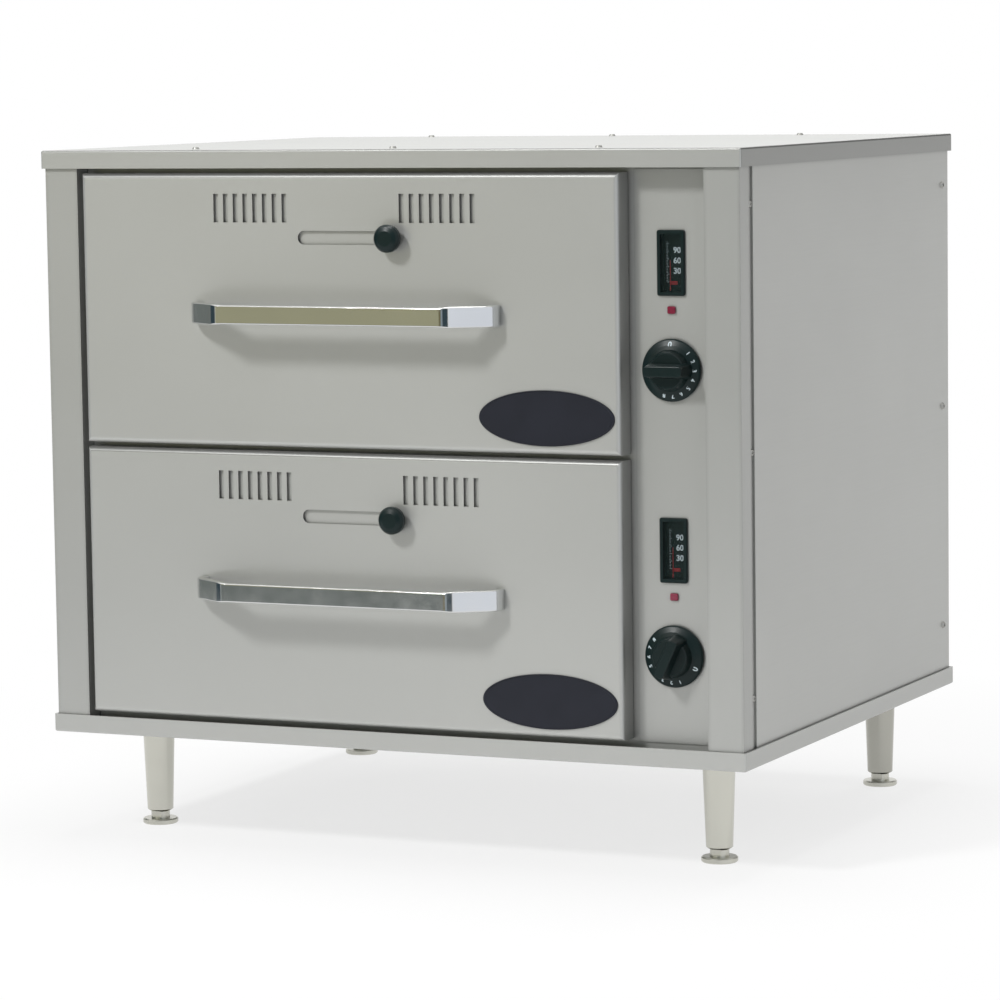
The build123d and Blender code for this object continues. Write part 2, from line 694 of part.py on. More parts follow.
def cord_gland():
    """Cord gland: threaded barrel through the back, hexagon outside and lock nut inside."""
    place = gland_place()
    outside = extrude(RegularPolygon(gland_hex_width / 2, 6), gland_hex_length)
    dome = Cone(gland_dome_base / 2, gland_dome_tip / 2, gland_dome_length)
    outside += Pos(0, 0, gland_hex_length + gland_dome_length / 2) * dome
    barrel = Pos(0, 0, -gland_thread_length / 2) * Cylinder(gland_thread / 2, gland_thread_length)
    nut = extrude(RegularPolygon(gland_nut_width / 2, 6), gland_nut_length)
    gland = outside + barrel + Pos(0, 0, -skin - gland_nut_length) * nut
    gland -= Cylinder(gland_bore / 2, 6 * gland_thread_length)
    return Pos(place.X, place.Y, place.Z) * Rot(-90, 0, 0) * gland


# ---- runners -----------------------------------------------------------------------------
def runner(points):
    """Rolled runner section: centre line from the wall inwards and up, made to full length."""
    section = trace(Polyline(*points), runner_sheet)
    plane = Plane(origin=(0, runner_y, runner_z), x_dir=(-1, 0, 0), z_dir=(0, 1, 0))
    solid = extrude(plane * section, runner_length, dir=(0, 1, 0))
    return Pos(opening_x, 0, 0) * solid


def outer_runner():
    half = runner_sheet / 2
    top = runner_height / 2 - half
    lip = runner_depth - half
    mouth = gap_mouth
    return runner([(lip, -mouth), (lip, -top), (half, -top), (half, top), (lip, top), (lip, mouth)])


def middle_runner():
    half = runner_sheet / 2
    step = runner_sheet + runner_play
    top = runner_height / 2 - half - step
    back = half + step
    lip = runner_depth - half - step
    mouth = gap_mouth - runner_lip
    return runner([(lip, -mouth), (lip, -top), (back, -top), (back, top), (lip, top), (lip, mouth)])


def inner_runner():
    half = runner_sheet / 2
    step = 2 * (runner_sheet + runner_play)
    edge = runner_height / 2 - step
    lip = runner_depth - half - step
    mouth = gap_mouth - runner_lip - runner_play - half
    face = opening_x - rail_x - half
    return runner([(lip, -edge), (lip, -mouth), (face, -mouth), (face, mouth), (lip, mouth), (lip, edge)])


def runner_pair(side_runner):
    """The same member on both sides of a drawer, as two solids."""
    right = side_runner()
    both = [right, mirrored(right)]
    return group([Pos(drawer_x, 0, 0) * piece for piece in both])


# ---- drawer ------------------------------------------------------------------------------
def drawer_front():
    """Folded front skin with vent slots, the slider's slot and guides for the vent shutter."""
    depth = front_back_y - front_y

    def pillow(inset):
        block = Box(front_width - 2 * inset, depth, front_height - 2 * inset)
        block = Pos(0, front_y + inset + depth / 2, front_height / 2) * block
        return fillet(block.faces().sort_by(Axis.Y)[0].edges(), front_edge_radius - inset)

    full = Pos(0, front_y + depth / 2, front_height / 2) * Box(front_width, depth, front_height)
    front = (pillow(0) & full) - pillow(front_skin)
    front += shutter_guides()
    slot = Pos(0, front_y, vent_rise) * Box(vent_width, 4 * front_skin, vent_height)
    for side in (-1, 1):
        first = side * vent_offset - vent_pitch * (vent_slots - 1) / 2
        front -= [Pos(first + n * vent_pitch, 0, 0) * slot for n in range(vent_slots)]
    opening = SlotOverall(slider_length, slider_height)
    opening = Pos(slider_left + slider_length / 2, slider_rise) * opening
    front -= along_y(opening, front_y - 1, 2 + front_skin)
    for x in handle_screw_places():
        hole = Rot(90, 0, 0) * Cylinder(handle_screw / 2 + 2 * hole_play, 4 * front_skin)
        front -= Pos(x, front_y, handle_rise) * hole
    return Pos(drawer_x, 0, 0) * front


def shutter_heights():
    """Bottom of the tail, top of the tail and top of the blades."""
    tail_low = slider_rise - slider_height / 2 - shutter_lap
    tail_high = slider_rise + slider_height / 2 + shutter_lap
    blade_high = vent_rise + vent_height / 2 + shutter_lap
    return tail_low, tail_high, blade_high


def shutter_guides():
    """Two channels welded behind the skin, above the blades and below the tail."""
    tail_low, tail_high, blade_high = shutter_heights()
    blade = vent_offset + shutter_blade_width / 2
    inside = front_y + front_skin
    room = guide_packer + shutter_thickness + 2 * shutter_play
    strips = []
    for reach, edge, away in ((blade, blade_high, 1), (shutter_reach, tail_low, -1)):
        length = 2 * reach + shutter_travel
        x = reach - length / 2
        web_z = edge + away * (shutter_play + guide_sheet / 2)
        lip_z = edge + away * (shutter_play + guide_sheet - guide_lip / 2)
        web = Box(length, room, guide_sheet)
        leaf = Box(length, guide_packer, guide_lip)
        lip = Box(length, guide_sheet, guide_lip)
        strips.append(Pos(x, inside + room / 2, web_z) * web)
        strips.append(Pos(x, inside + guide_packer / 2, lip_z) * leaf)
        strips.append(Pos(x, inside + room + guide_sheet / 2, lip_z) * lip)
    return strips


def vent_shutter():
    """Sliding plate: a blade shuts each group of vents and the tail backs the slider's slot."""
    tail_low, tail_high, blade_high = shutter_heights()
    near = vent_offset - shutter_blade_width / 2
    far = vent_offset + shutter_blade_width / 2
    half = [(0, tail_high), (near, tail_high), (near, blade_high), (far, blade_high)]
    half += [(far, tail_high), (shutter_reach, tail_high), (shutter_reach, tail_low)]
    outline = half + [(-x, z) for x, z in reversed(half[1:])]
    sheet = along_y(make_face(Polyline(*outline, close=True)), shutter_y, shutter_thickness)
    hole = Rot(90, 0, 0) * Cylinder(vent_rivet_diameter / 2 + shaft_fit, 4 * shutter_thickness)
    sheet -= Pos(vent_knob_x, shutter_y, slider_rise) * hole
    return Pos(drawer_x, 0, 0) * sheet


def vent_knob():
    """Round push knob with a stem through the slot and a riveted end behind the shutter."""
    r = vent_knob_diameter / 2
    neck = vent_knob_neck / 2
    stem = vent_stem_diameter / 2
    reach = vent_knob_length
    gap = 2 * seat_gap
    seat = shutter_y - front_y
    outline = [(0, -reach), (r * 0.55, -reach), (r * 0.85, -reach * 0.91), (r, -reach * 0.74)]
    outline += [(r, -reach / 2), (r * 0.8, -reach * 0.32), (neck, -reach * 0.24)]
    outline += [(neck, -gap), (stem, -gap), (stem, seat)]
    end = seat + shutter_thickness
    rivet = vent_rivet_diameter / 2
    head = vent_rivet_head / 2
    outline += [(rivet, seat), (rivet, end), (head, end)]
    outline += [(head, end + vent_rivet_height), (0, end + vent_rivet_height)]
    knob = Rot(-90, 0, 0) * turned(outline, (0, 0, 0))
    return Pos(drawer_x + vent_knob_x, front_y, slider_rise) * knob


def drawer_front_liner():
    """Tray that closes the back of the drawer front, with a window behind each vent group."""
    width = front_width - 2 * front_skin - 2 * stem_fit
    height = front_height - 2 * front_skin - 2 * stem_fit
    tray = Pos(0, liner_y - liner_flange / 2, front_height / 2) * Box(width, liner_flange, height)
    hollow = Box(width - 2 * skin, liner_flange, height - 2 * skin)
    tray -= Pos(0, liner_y - skin - liner_flange / 2, front_height / 2) * hollow
    window_w = vent_pitch * vent_slots
    window_h = vent_height * 0.6
    for side in (-1, 1):
        window = Box(window_w, 6 * skin, window_h)
        window_z = seat_z + pan_frame_sheet + window_h / 2 + seat_gap
        tray -= Pos(side * vent_offset, liner_y, window_z) * window
    return Pos(drawer_x, 0, 0) * tray


def pan_frame():
    """Welded carrier: top ring for the pan rim, front web on the liner and a rail each side."""
    length = runner_y + runner_length - liner_y
    ring_depth = pan_setback + pan_breadth + pan_rim
    s = pan_frame_sheet
    ring = Pos(0, liner_y + ring_depth / 2, seat_z - s / 2) * Box(2 * rail_x, ring_depth, s)
    clear = 2 * pan_frame_sheet - 2 * pan_rim
    hole = RectangleRounded(pan_length + clear, pan_breadth + clear, pan_corner)
    centre_y = pan_front_y + pan_breadth / 2
    ring -= Pos(0, centre_y, seat_z - 3 * s) * extrude(hole, 6 * s)
    web = Box(2 * rail_x, s, pan_frame_web)
    lip = Box(2 * rail_x, s, pan_frame_web / 2)
    frame = ring + Pos(0, liner_y + s / 2, seat_z - pan_frame_web / 2) * web
    frame += Pos(0, liner_y + ring_depth - s / 2, seat_z - pan_frame_web / 4) * lip
    for side in (-1, 1):
        x = side * (rail_x - s / 2)
        frame += Pos(x, liner_y + length / 2, seat_z - pan_frame_web / 2) * Box(s, length, pan_frame_web)
    return Pos(drawer_x, 0, 0) * frame


def food_pan():
    """Full-size steam pan: leaning walls, round corners, radiused bottom and a turned rim."""
    length = pan_length - 2 * pan_rim
    breadth = pan_breadth - 2 * pan_rim

    lean = math.degrees(math.atan2(pan_taper, pan_depth))

    def bowl(inset):
        mouth = RectangleRounded(length - 2 * inset, breadth - 2 * inset, pan_corner - inset)
        solid = extrude(mouth, pan_depth - inset, dir=(0, 0, -1), taper=lean)
        return fillet(solid.faces().sort_by(Axis.Z)[0].edges(), pan_bottom_radius - inset)

    rim_corner = pan_corner + pan_rim
    rim = RectangleRounded(pan_length, pan_breadth, rim_corner)
    rim = extrude(rim, pan_rim_height)
    rim = fillet(rim.faces().sort_by(Axis.Z)[-1].edges(), pan_rim_height - pan_sheet)
    edge = 2 * pan_sheet
    under = RectangleRounded(pan_length - edge, pan_breadth - edge, rim_corner - pan_sheet)
    rim -= extrude(under, pan_rim_height - pan_sheet)
    hole = RectangleRounded(length - edge, breadth - edge, pan_corner - pan_sheet)
    seam = extrude(RectangleRounded(length, breadth, pan_corner), pan_rim_height)
    pan = bowl(0) + seam + rim
    pan -= bowl(pan_sheet)
    pan -= Pos(0, 0, -pan_sheet) * extrude(hole, 2 * pan_rim_height)
    centre_y = pan_front_y + pan_breadth / 2
    return Pos(drawer_x, centre_y, seat_z) * pan


def handle_screw_places():
    reach = handle_length / 2 - handle_thickness / 2
    return [handle_offset - reach, handle_offset + reach]


def handle():
    """Bridge handle: straight feet, sloping ends and a flat grip that is a little slimmer."""
    half = (handle_length - handle_thickness) / 2
    grip = half - handle_run
    out = handle_reach - handle_thickness / 2
    line = [(-half, 0), (-half, -handle_foot), (-grip, -out), (grip, -out), (half, -handle_foot), (half, 0)]
    path = FilletPolyline(*line, radius=handle_bend)
    bar = extrude(trace(path, handle_thickness), handle_end_height / 2, both=True)
    ease = handle_ease
    for side in (-1, 1):
        z_out = side * handle_end_height
        z_in = side * handle_grip_height / 2
        z_end = side * handle_end_height / 2
        cut = [(-grip - ease, z_out), (-grip - ease, z_end), (-grip + ease, z_in)]
        cut += [(grip - ease, z_in), (grip + ease, z_end), (grip + ease, z_out)]
        tool = make_face(Polyline(*cut, close=True))
        bar -= along_y(tool, -2 * handle_reach, 3 * handle_reach)
    bar = fillet(bar.edges().filter_by(GeomType.LINE).filter_by(Axis.X), handle_edge)
    for x in (-half, half):
        bar -= Pos(x, 0, 0) * Rot(90, 0, 0) * Cylinder(handle_screw / 2, 2.25 * handle_screw_length)
    return Pos(drawer_x + handle_offset, front_y, handle_rise) * bar


def handle_screws():
    """Two screws from inside the hollow front into the handle's feet."""
    screws = []
    for x in handle_screw_places():
        shank = Cylinder(handle_screw / 2 - stem_fit, handle_screw_length + front_skin)
        head = Cylinder(handle_screw_head / 2, handle_screw_height)
        screw = Pos(0, 0, (front_skin - handle_screw_length) / 2) * shank
        screw += Pos(0, 0, front_skin + handle_screw_height / 2) * head
        screw = Rot(-90, 0, 0) * screw
        screws.append(Pos(drawer_x + x, front_y, handle_rise) * screw)
    return group(screws)


# ---- legs, feet and screws ---------------------------------------------------------------
def leg(x, y):
    """Tapered leg bored for its foot, with a stud through the base pan."""
    top = leg_top_diameter / 2
    low = leg_bottom_diameter / 2
    bore = foot_stem_diameter / 2 + stem_fit
    stud = leg_stud_diameter / 2
    outline = [(bore, foot_show), (low - leg_edge, foot_show), (low, foot_show + leg_edge)]
    outline += [(top, base_z)]
    outline += [(stud, base_z), (stud, base_z + leg_stud_length), (0, base_z + leg_stud_length)]
    outline += [(0, foot_show + leg_bore_depth), (bore, foot_show + leg_bore_depth)]
    return turned(outline, (x, y, 0))


def foot(x, y):
    """Adjustable foot: round pad, neck with spanner flats and a stem in the leg's bore."""
    pad = foot_diameter / 2
    neck = foot_neck_diameter / 2
    stem = foot_stem_diameter / 2
    shoulder = foot_show - seat_gap
    outline = [(0, 0), (pad - foot_edge, 0), (pad, foot_edge), (pad, foot_pad - foot_edge)]
    outline += [(pad - foot_edge, foot_pad), (neck, foot_pad), (neck, shoulder - foot_edge)]
    outline += [(stem, shoulder)]
    outline += [(stem, foot_show + foot_stem_length), (0, foot_show + foot_stem_length)]
    solid = turned(outline, (0, 0, 0))
    flat_z = (foot_pad + foot_show) / 2
    for side in (-1, 1):
        flat = Box(foot_neck_diameter, 2 * foot_flat_depth, foot_show - foot_pad - 2 * foot_edge)
        solid -= Pos(0, side * neck, flat_z) * flat
    return Pos(x, y, 0) * solid


def cabinet_screws():
    """Pan-head screws of the sides, the top and the back."""
    head = screw_head / 2
    neck = screw_shank / 2
    outline = [(0, screw_head_height), (head * 0.6, screw_head_height), (head, screw_head_height * 0.3)]
    outline += [(head, 0), (neck, 0), (neck, -screw_length), (0, -screw_length)]
    screw = turned(outline, (0, 0, 0))
    places = [Pos(x, y, top_z) for x, y in top_screw_places()]
    for z in side_screw_heights():
        for x, y in side_screw_lines():
            places.append(Pos(x, y, z) * Rot(0, 90, 0))
            places.append(Pos(-x, y, z) * Rot(0, -90, 0))
    return group([place * screw for place in places])


# ---- export ------------------------------------------------------------------------------
def export(name, shape):
    export_step(Pos(0, footprint_y, 0) * shape, f"parts/{name}.step")


def export_cabinet():
    export("top_cover", top_cover())
    export("base_pan", base_pan())
    export("right_side_panel", side_panel())
    export("left_side_panel", mirrored(side_panel()))
    export("right_corner_post", corner_post())
    export("left_corner_post", mirrored(corner_post()))
    export("back_panel", back_panel())
    export("front_frame", front_frame())
    export("control_panel", control_panel())
    export("insulation_pads", insulation_pads())
    export("terminal_block", terminal_block())
    export("cord_gland", cord_gland())
    export("cabinet_screws", cabinet_screws())
    for corner, (x, y) in leg_places().items():
        export(corner + "_leg", leg(x, y))
        export(corner + "_foot", foot(x, y))


def export_row(row, z0):
    """Every piece that the two rows share, lifted to its row."""
    lift = Pos(0, 0, z0)
    axle = Pos(control_centre, 0, knob_rise)
    turn = axle * Rot(0, dial_turns[row], 0) * axle.inverse()
    pieces = {
        "cavity": cavity(),
        "heating_element": heating_element(),
        "thermostat": thermostat(),
        "thermostat_shaft": turn * thermostat_shaft(),
        "thermostat_knob": turn * thermostat_knob(),
        "thermometer": thermometer(),
        "pilot_lamp": pilot_lamp(),
        "outer_runners": runner_pair(outer_runner),
        "right_middle_runner": Pos(drawer_x, 0, 0) * middle_runner(),
        "left_middle_runner": Pos(drawer_x, 0, 0) * mirrored(middle_runner()),
        "inner_runners": runner_pair(inner_runner),
        "drawer_front": drawer_front(),
        "drawer_front_liner": drawer_front_liner(),
        "pan_frame": pan_frame(),
        "food_pan": food_pan(),
        "handle": handle(),
        "handle_screws": handle_screws(),
        "vent_shutter": vent_shutter(),
        "vent_knob": vent_knob(),
    }
    for name, piece in pieces.items():
        export(row + "_" + name, lift * piece)


os.makedirs("parts", exist_ok=True)
export_cabinet()
for row, z0 in rows.items():
    export_row(row, z0)
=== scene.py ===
"""Finishes and small detail of a two-drawer countertop warming drawer.

Metres, +Z up, the front of the cabinet towards -Y. The cabinet's solids come in as the fixed frame;
each operator below dresses one group of pieces, and the stage operator sets the studio up.
"""

import math

import bmesh
import bpy
from bpy.props import FloatProperty, FloatVectorProperty, IntProperty, PointerProperty
from mathutils import Matrix, Vector


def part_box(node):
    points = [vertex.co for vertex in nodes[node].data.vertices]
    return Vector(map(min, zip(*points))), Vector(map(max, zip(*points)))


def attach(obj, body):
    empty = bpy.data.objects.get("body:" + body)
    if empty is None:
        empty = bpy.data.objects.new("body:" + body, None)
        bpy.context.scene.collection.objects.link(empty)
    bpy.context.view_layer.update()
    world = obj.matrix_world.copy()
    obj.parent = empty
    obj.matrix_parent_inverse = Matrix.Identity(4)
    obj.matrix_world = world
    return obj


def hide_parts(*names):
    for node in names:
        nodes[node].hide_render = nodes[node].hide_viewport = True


bl_info = {
    "name": "Warming Drawer Finish",
    "version": (1, 0, 0),
    "blender": (4, 5, 0),
    "location": "3D View > Sidebar > Warming Drawer",
    "description": "Dresses the solids of a two-drawer warming cabinet and sets up its studio",
    "category": "Object",
}

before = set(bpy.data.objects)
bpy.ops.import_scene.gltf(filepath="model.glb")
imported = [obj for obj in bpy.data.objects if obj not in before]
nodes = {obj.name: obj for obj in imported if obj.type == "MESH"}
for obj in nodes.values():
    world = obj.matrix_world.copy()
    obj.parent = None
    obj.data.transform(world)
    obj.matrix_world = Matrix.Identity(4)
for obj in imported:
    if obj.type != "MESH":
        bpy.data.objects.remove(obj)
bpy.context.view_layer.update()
ROWS = ("lower", "upper")
CORNERS = ("front_left", "front_right", "rear_left", "rear_right")


# ---- places read from the frame ----------------------------------------------------------
def middle(node):
    low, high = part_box(node)
    return (low + high) / 2


def row_origin(row):
    """Middle of the drawer front's width, its face and its bottom edge."""
    low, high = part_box(row + "_drawer_front")
    return Vector(((low.x + high.x) / 2, low.y, low.z))


# ---- mesh helpers ------------------------------------------------------------------------
def piece_from_bmesh(name, mesh, material, smooth_angle=math.radians(35)):
    """A finished object at the origin from a bmesh whose points are already in place."""
    data = bpy.data.meshes.new(name)
    mesh.to_mesh(data)
    mesh.free()
    data.shade_smooth()
    data.set_sharp_from_angle(angle=smooth_angle)
    data.materials.append(material)
    made = bpy.data.objects.new(name, data)
    bpy.context.scene.collection.objects.link(made)
    return made


def islands(node):
    """The separate solids of a node as bmeshes with shared points, the largest box first."""
    whole = bmesh.new()
    whole.from_mesh(nodes[node].data)
    bmesh.ops.remove_doubles(whole, verts=whole.verts, dist=1e-6)
    whole.verts.ensure_lookup_table()
    seen = set()
    found = []
    for start in whole.verts:
        if start.index in seen:
            continue
        stack = [start]
        group = []
        seen.add(start.index)
        while stack:
            point = stack.pop()
            group.append(point)
            for edge in point.link_edges:
                other = edge.other_vert(point)
                if other.index not in seen:
                    seen.add(other.index)
                    stack.append(other)
        found.append(group)
    parts = []
    for group in found:
        part = bmesh.new()
        copies = {v.index: part.verts.new(v.co) for v in group}
        for face in {f for v in group for f in v.link_faces}:
            part.faces.new([copies[v.index] for v in face.verts])
        spans = [max(v.co[i] for v in group) - min(v.co[i] for v in group) for i in range(3)]
        parts.append((spans[0] * spans[1] * spans[2], part))
    whole.free()
    parts.sort(key=lambda item: -item[0])
    return [part for size, part in parts]


def text_mesh(characters, height, thickness, weight=0.0):
    """Numerals as a mesh lying in XY, centred on the origin; weight widens their strokes."""
    curve = bpy.data.curves.new("numerals", "FONT")
    curve.body = characters
    curve.size = height
    curve.extrude = thickness / 2
    curve.offset = weight
    curve.align_x = "CENTER"
    curve.align_y = "CENTER"
    curve.resolution_u = 4
    holder = bpy.data.objects.new("numerals", curve)
    bpy.context.scene.collection.objects.link(holder)
    graph = bpy.context.evaluated_depsgraph_get()
    data = bpy.data.meshes.new_from_object(holder.evaluated_get(graph))
    bpy.data.objects.remove(holder)
    bpy.data.curves.remove(curve)
    return data


def add_text(target, characters, height, thickness, place, weight=0.0):
    data = text_mesh(characters, height, thickness, weight)
    data.transform(place)
    target.from_mesh(data)
    bpy.data.meshes.remove(data)


def facing_front(x, y, z):
    """Stands a mesh drawn in XY upright, its face towards the front."""
    return Matrix.Translation((x, y, z)) @ Matrix.Rotation(math.radians(90), 4, "X")


def disc_rings(target, centre, rings, segments, squeeze=1.0):
    """A closed turned cap: rings of (radius, stand) around an axis towards the front."""
    loops = []
    for radius, stand in rings:
        loop = []
        for n in range(segments):
            angle = 2 * math.pi * n / segments
            x = centre.x + radius * math.cos(angle)
            z = centre.z + radius * squeeze * math.sin(angle)
            loop.append(target.verts.new((x, centre.y - stand, z)))
        loops.append(loop)
    for inner, outer in zip(loops[1:], loops[:-1]):
        for n in range(segments):
            m = (n + 1) % segments
            target.faces.new((outer[n], outer[m], inner[m], inner[n]))
    target.faces.new(loops[-1])
    target.faces.new(list(reversed(loops[0])))
    bmesh.ops.recalc_face_normals(target, faces=target.faces)


# ---- material helpers --------------------------------------------------------------------
class Finish:
    """A node material whose patterns read Object coordinates in metres."""

    def __init__(self, name, colour, roughness, metallic=0.0):
        self.material = bpy.data.materials.new(name)
        self.material.use_nodes = True
        tree = self.material.node_tree
        self.nodes = tree.nodes
        self.links = tree.links
        self.surface = tree.nodes["Principled BSDF"]
        self.surface.inputs["Base Color"].default_value = (*colour, 1.0)
        self.surface.inputs["Roughness"].default_value = roughness
        self.surface.inputs["Metallic"].default_value = metallic
        self.coordinates = self.nodes.new("ShaderNodeTexCoord")
        self.colour = colour
        self.roughness = roughness
        self.height = None

    def noise(self, stretch, detail=3.0, rough=0.5, seed=0.0):
        mapping = self.nodes.new("ShaderNodeMapping")
        mapping.inputs["Scale"].default_value = stretch
        mapping.inputs["Location"].default_value = (seed, seed * 0.7, seed * 1.3)
        self.links.new(self.coordinates.outputs["Object"], mapping.inputs["Vector"])
        noise = self.nodes.new("ShaderNodeTexNoise")
        noise.inputs["Scale"].default_value = 1.0
        noise.inputs["Detail"].default_value = detail
        noise.inputs["Roughness"].default_value = rough
        self.links.new(mapping.outputs["Vector"], noise.inputs["Vector"])
        return noise.outputs["Fac"]

    def spread(self, value, low, high, start=0.3, end=0.7):
        """Maps a noise value to a range."""
        node = self.nodes.new("ShaderNodeMapRange")
        node.inputs["From Min"].default_value = start
        node.inputs["From Max"].default_value = end
        node.inputs["To Min"].default_value = low
        node.inputs["To Max"].default_value = high
        self.links.new(value, node.inputs["Value"])
        return node.outputs["Result"]

    def combine(self, kind, first, second):
        node = self.nodes.new("ShaderNodeMath")
        node.operation = kind
        for socket, value in zip(node.inputs, (first, second)):
            if isinstance(value, (int, float)):
                socket.default_value = value
            else:
                self.links.new(value, socket)
        return node.outputs[0]

    def vary_colour(self, value, dark, light):
        """Tints the base colour between two brightness factors."""
        ramp = self.nodes.new("ShaderNodeMix")
        ramp.data_type = "RGBA"
        ramp.inputs["A"].default_value = (*[c * dark for c in self.colour], 1.0)
        ramp.inputs["B"].default_value = (*[c * light for c in self.colour], 1.0)
        self.links.new(self.spread(value, 0.0, 1.0), ramp.inputs["Factor"])
        self.links.new(ramp.outputs["Result"], self.surface.inputs["Base Color"])
        return ramp.outputs["Result"]

    def vary_roughness(self, value, amount):
        low = max(self.roughness - amount, 0.02)
        self.links.new(self.spread(value, low, self.roughness + amount), self.surface.inputs["Roughness"])

    def bump(self, value, distance, strength=1.0):
        node = self.nodes.new("ShaderNodeBump")
        node.inputs["Strength"].default_value = strength
        node.inputs["Distance"].default_value = distance
        self.links.new(value, node.inputs["Height"])
        if self.height is not None:
            self.links.new(self.height, node.inputs["Normal"])
        self.height = node.outputs["Normal"]
        self.links.new(self.height, self.surface.inputs["Normal"])

    def paint_crease_shade(self, share, reach):
        """Painted shade: darkens the sheet a little where it runs into folds, joints and slots, from ambient
        occlusion.
        """
        occlusion = self.nodes.new("ShaderNodeAmbientOcclusion")
        occlusion.samples = 6
        occlusion.inputs["Distance"].default_value = reach
        self.scale_colour(self.spread(occlusion.outputs["AO"], share, 1.0, 0.3, 0.85))

    def paint_side_shade(self, share):
        """Painted shade: darkens the faces that look to the left and the right."""
        sideways = self.combine("ABSOLUTE", self.facing("X"), 0.0)
        self.scale_colour(self.spread(sideways, 1.0, share, 0.5, 0.9))

    def paint_bend_shade(self, share):
        """Painted shade: darkens the rounded bends between upright and level faces and lowers their
        specular, to tone down their highlights.
        """
        upward = self.facing("Z")
        leans = self.spread(upward, 0.0, 1.0, 0.08, 0.3)
        not_level = self.spread(upward, 1.0, 0.0, 0.93, 0.995)
        bend_shade = self.combine("MULTIPLY", leans, not_level)
        self.scale_colour(self.spread(bend_shade, 1.0, share))
        level = self.surface.inputs["Specular IOR Level"]
        self.links.new(self.spread(bend_shade, level.default_value, 0.0), level)

    def paint_edge_shade(self, share, reach):
        """Painted shade: darkens the strips beside long bends and edges."""
        self.scale_colour(self.spread(self.flatness(reach), share, 1.0, 0.85, 0.998))

    def flatness(self, reach):
        """One on flat sheet, less within reach of an edge."""
        bevel = self.nodes.new("ShaderNodeBevel")
        bevel.samples = 4
        bevel.inputs["Radius"].default_value = reach
        geometry = self.nodes.new("ShaderNodeNewGeometry")
        dot = self.nodes.new("ShaderNodeVectorMath")
        dot.operation = "DOT_PRODUCT"
        self.links.new(bevel.outputs["Normal"], dot.inputs[0])
        self.links.new(geometry.outputs["Normal"], dot.inputs[1])
        return dot.outputs["Value"]

    def facing(self, axis):
        """How much a face looks along an axis."""
        geometry = self.nodes.new("ShaderNodeNewGeometry")
        split = self.nodes.new("ShaderNodeSeparateXYZ")
        self.links.new(geometry.outputs["Normal"], split.inputs["Vector"])
        return split.outputs[axis]

    def scale_colour(self, factor):
        """Multiplies the base colour made so far by a factor."""
        mix = self.nodes.new("ShaderNodeMix")
        mix.data_type = "RGBA"
        mix.blend_type = "MULTIPLY"
        mix.inputs["Factor"].default_value = 1.0
        base = self.surface.inputs["Base Color"]
        self.links.new(base.links[0].from_socket, mix.inputs["A"])
        self.links.new(factor, mix.inputs["B"])
        self.links.new(mix.outputs["Result"], base)

    def worn_edges(self, amount, reach=0.0006):
        """Lightens the rubbed edges by a small share."""
        edge = self.spread(self.flatness(reach), amount, 0.0, 0.7, 0.999)
        mix = self.nodes.new("ShaderNodeMix")
        mix.data_type = "RGBA"
        mix.inputs["B"].default_value = (*[min(1.0, c * 1.6 + 0.05) for c in self.colour], 1.0)
        base = self.surface.inputs["Base Color"]
        if base.is_linked:
            self.links.new(base.links[0].from_socket, mix.inputs["A"])
        else:
            mix.inputs["A"].default_value = (*self.colour, 1.0)
        self.links.new(edge, mix.inputs["Factor"])
        self.links.new(mix.outputs["Result"], base)


def brushed_steel(name, colour, roughness, grain, metallic, side_shade=1.0, cloud=0.022, bend_shade=1.0, edge=1.0):
    """Sheet steel with a fine grain along one axis, faint smears and a soft sheen.

    Faces that look to the sides, upper bends and the strips beside bends and edges take a painted shade by
    the three shares after the metal share; folds, joints and slots take a painted shade from ambient
    occlusion.
    """
    across = 2600.0
    along = 14.0
    fine = [across, across, across]
    fine["XYZ".index(grain)] = along
    finish = Finish(name, colour, roughness, metallic)
    lines = finish.noise(fine, 2.0, 0.6)
    smears = finish.noise((2.3, 2.3, 3.1), 3.0, 0.55, 3.0)
    finish.vary_colour(smears, 1.0 - cloud, 1.0 + cloud)
    line_share = finish.combine("MULTIPLY", lines, 0.55)
    smear_share = finish.combine("MULTIPLY", smears, 0.45)
    mixed = finish.combine("ADD", line_share, smear_share)
    finish.vary_roughness(mixed, 0.05)
    finish.bump(lines, 0.00002, 0.35)
    # Painted shade on the faces that look to the left and the right.
    if side_shade < 1.0:
        finish.paint_side_shade(side_shade)
    # Painted shade on the upper bends, which tones down their highlights.
    if bend_shade < 1.0:
        finish.paint_bend_shade(bend_shade)
    # Painted shade on the strips beside bends and edges.
    if edge < 1.0:
        finish.paint_edge_shade(edge, 0.004)
    # Painted shade in folds, joints and slots, from ambient occlusion.
    finish.paint_crease_shade(0.62, 0.006)
    return finish.material


def polished_metal(name, colour, roughness):
    """Bright metal with faint clouds in its shine."""
    finish = Finish(name, colour, roughness, 1.0)
    finish.vary_roughness(finish.noise((60, 60, 60), 3.0, 0.6, 2.0), 0.03)
    finish.vary_colour(finish.noise((9, 9, 9), 2.0, 0.5, 5.0), 0.96, 1.03)
    finish.bump(finish.noise((700, 700, 700), 2.0, 0.5), 0.00001, 0.3)
    return finish.material


def galvanised(name, colour, roughness):
    """Zinc-coated sheet with its spangle."""
    finish = Finish(name, colour, roughness, 0.9)
    mapping = finish.nodes.new("ShaderNodeMapping")
    mapping.inputs["Scale"].default_value = (230, 230, 230)
    finish.links.new(finish.coordinates.outputs["Object"], mapping.inputs["Vector"])
    cells = finish.nodes.new("ShaderNodeTexVoronoi")
    cells.inputs["Scale"].default_value = 1.0
    finish.links.new(mapping.outputs["Vector"], cells.inputs["Vector"])
    grey = finish.nodes.new("ShaderNodeSeparateColor")
    finish.links.new(cells.outputs["Color"], grey.inputs["Color"])
    finish.vary_colour(grey.outputs["Red"], 0.94, 1.04)
    finish.vary_roughness(grey.outputs["Green"], 0.07)
    return finish.material


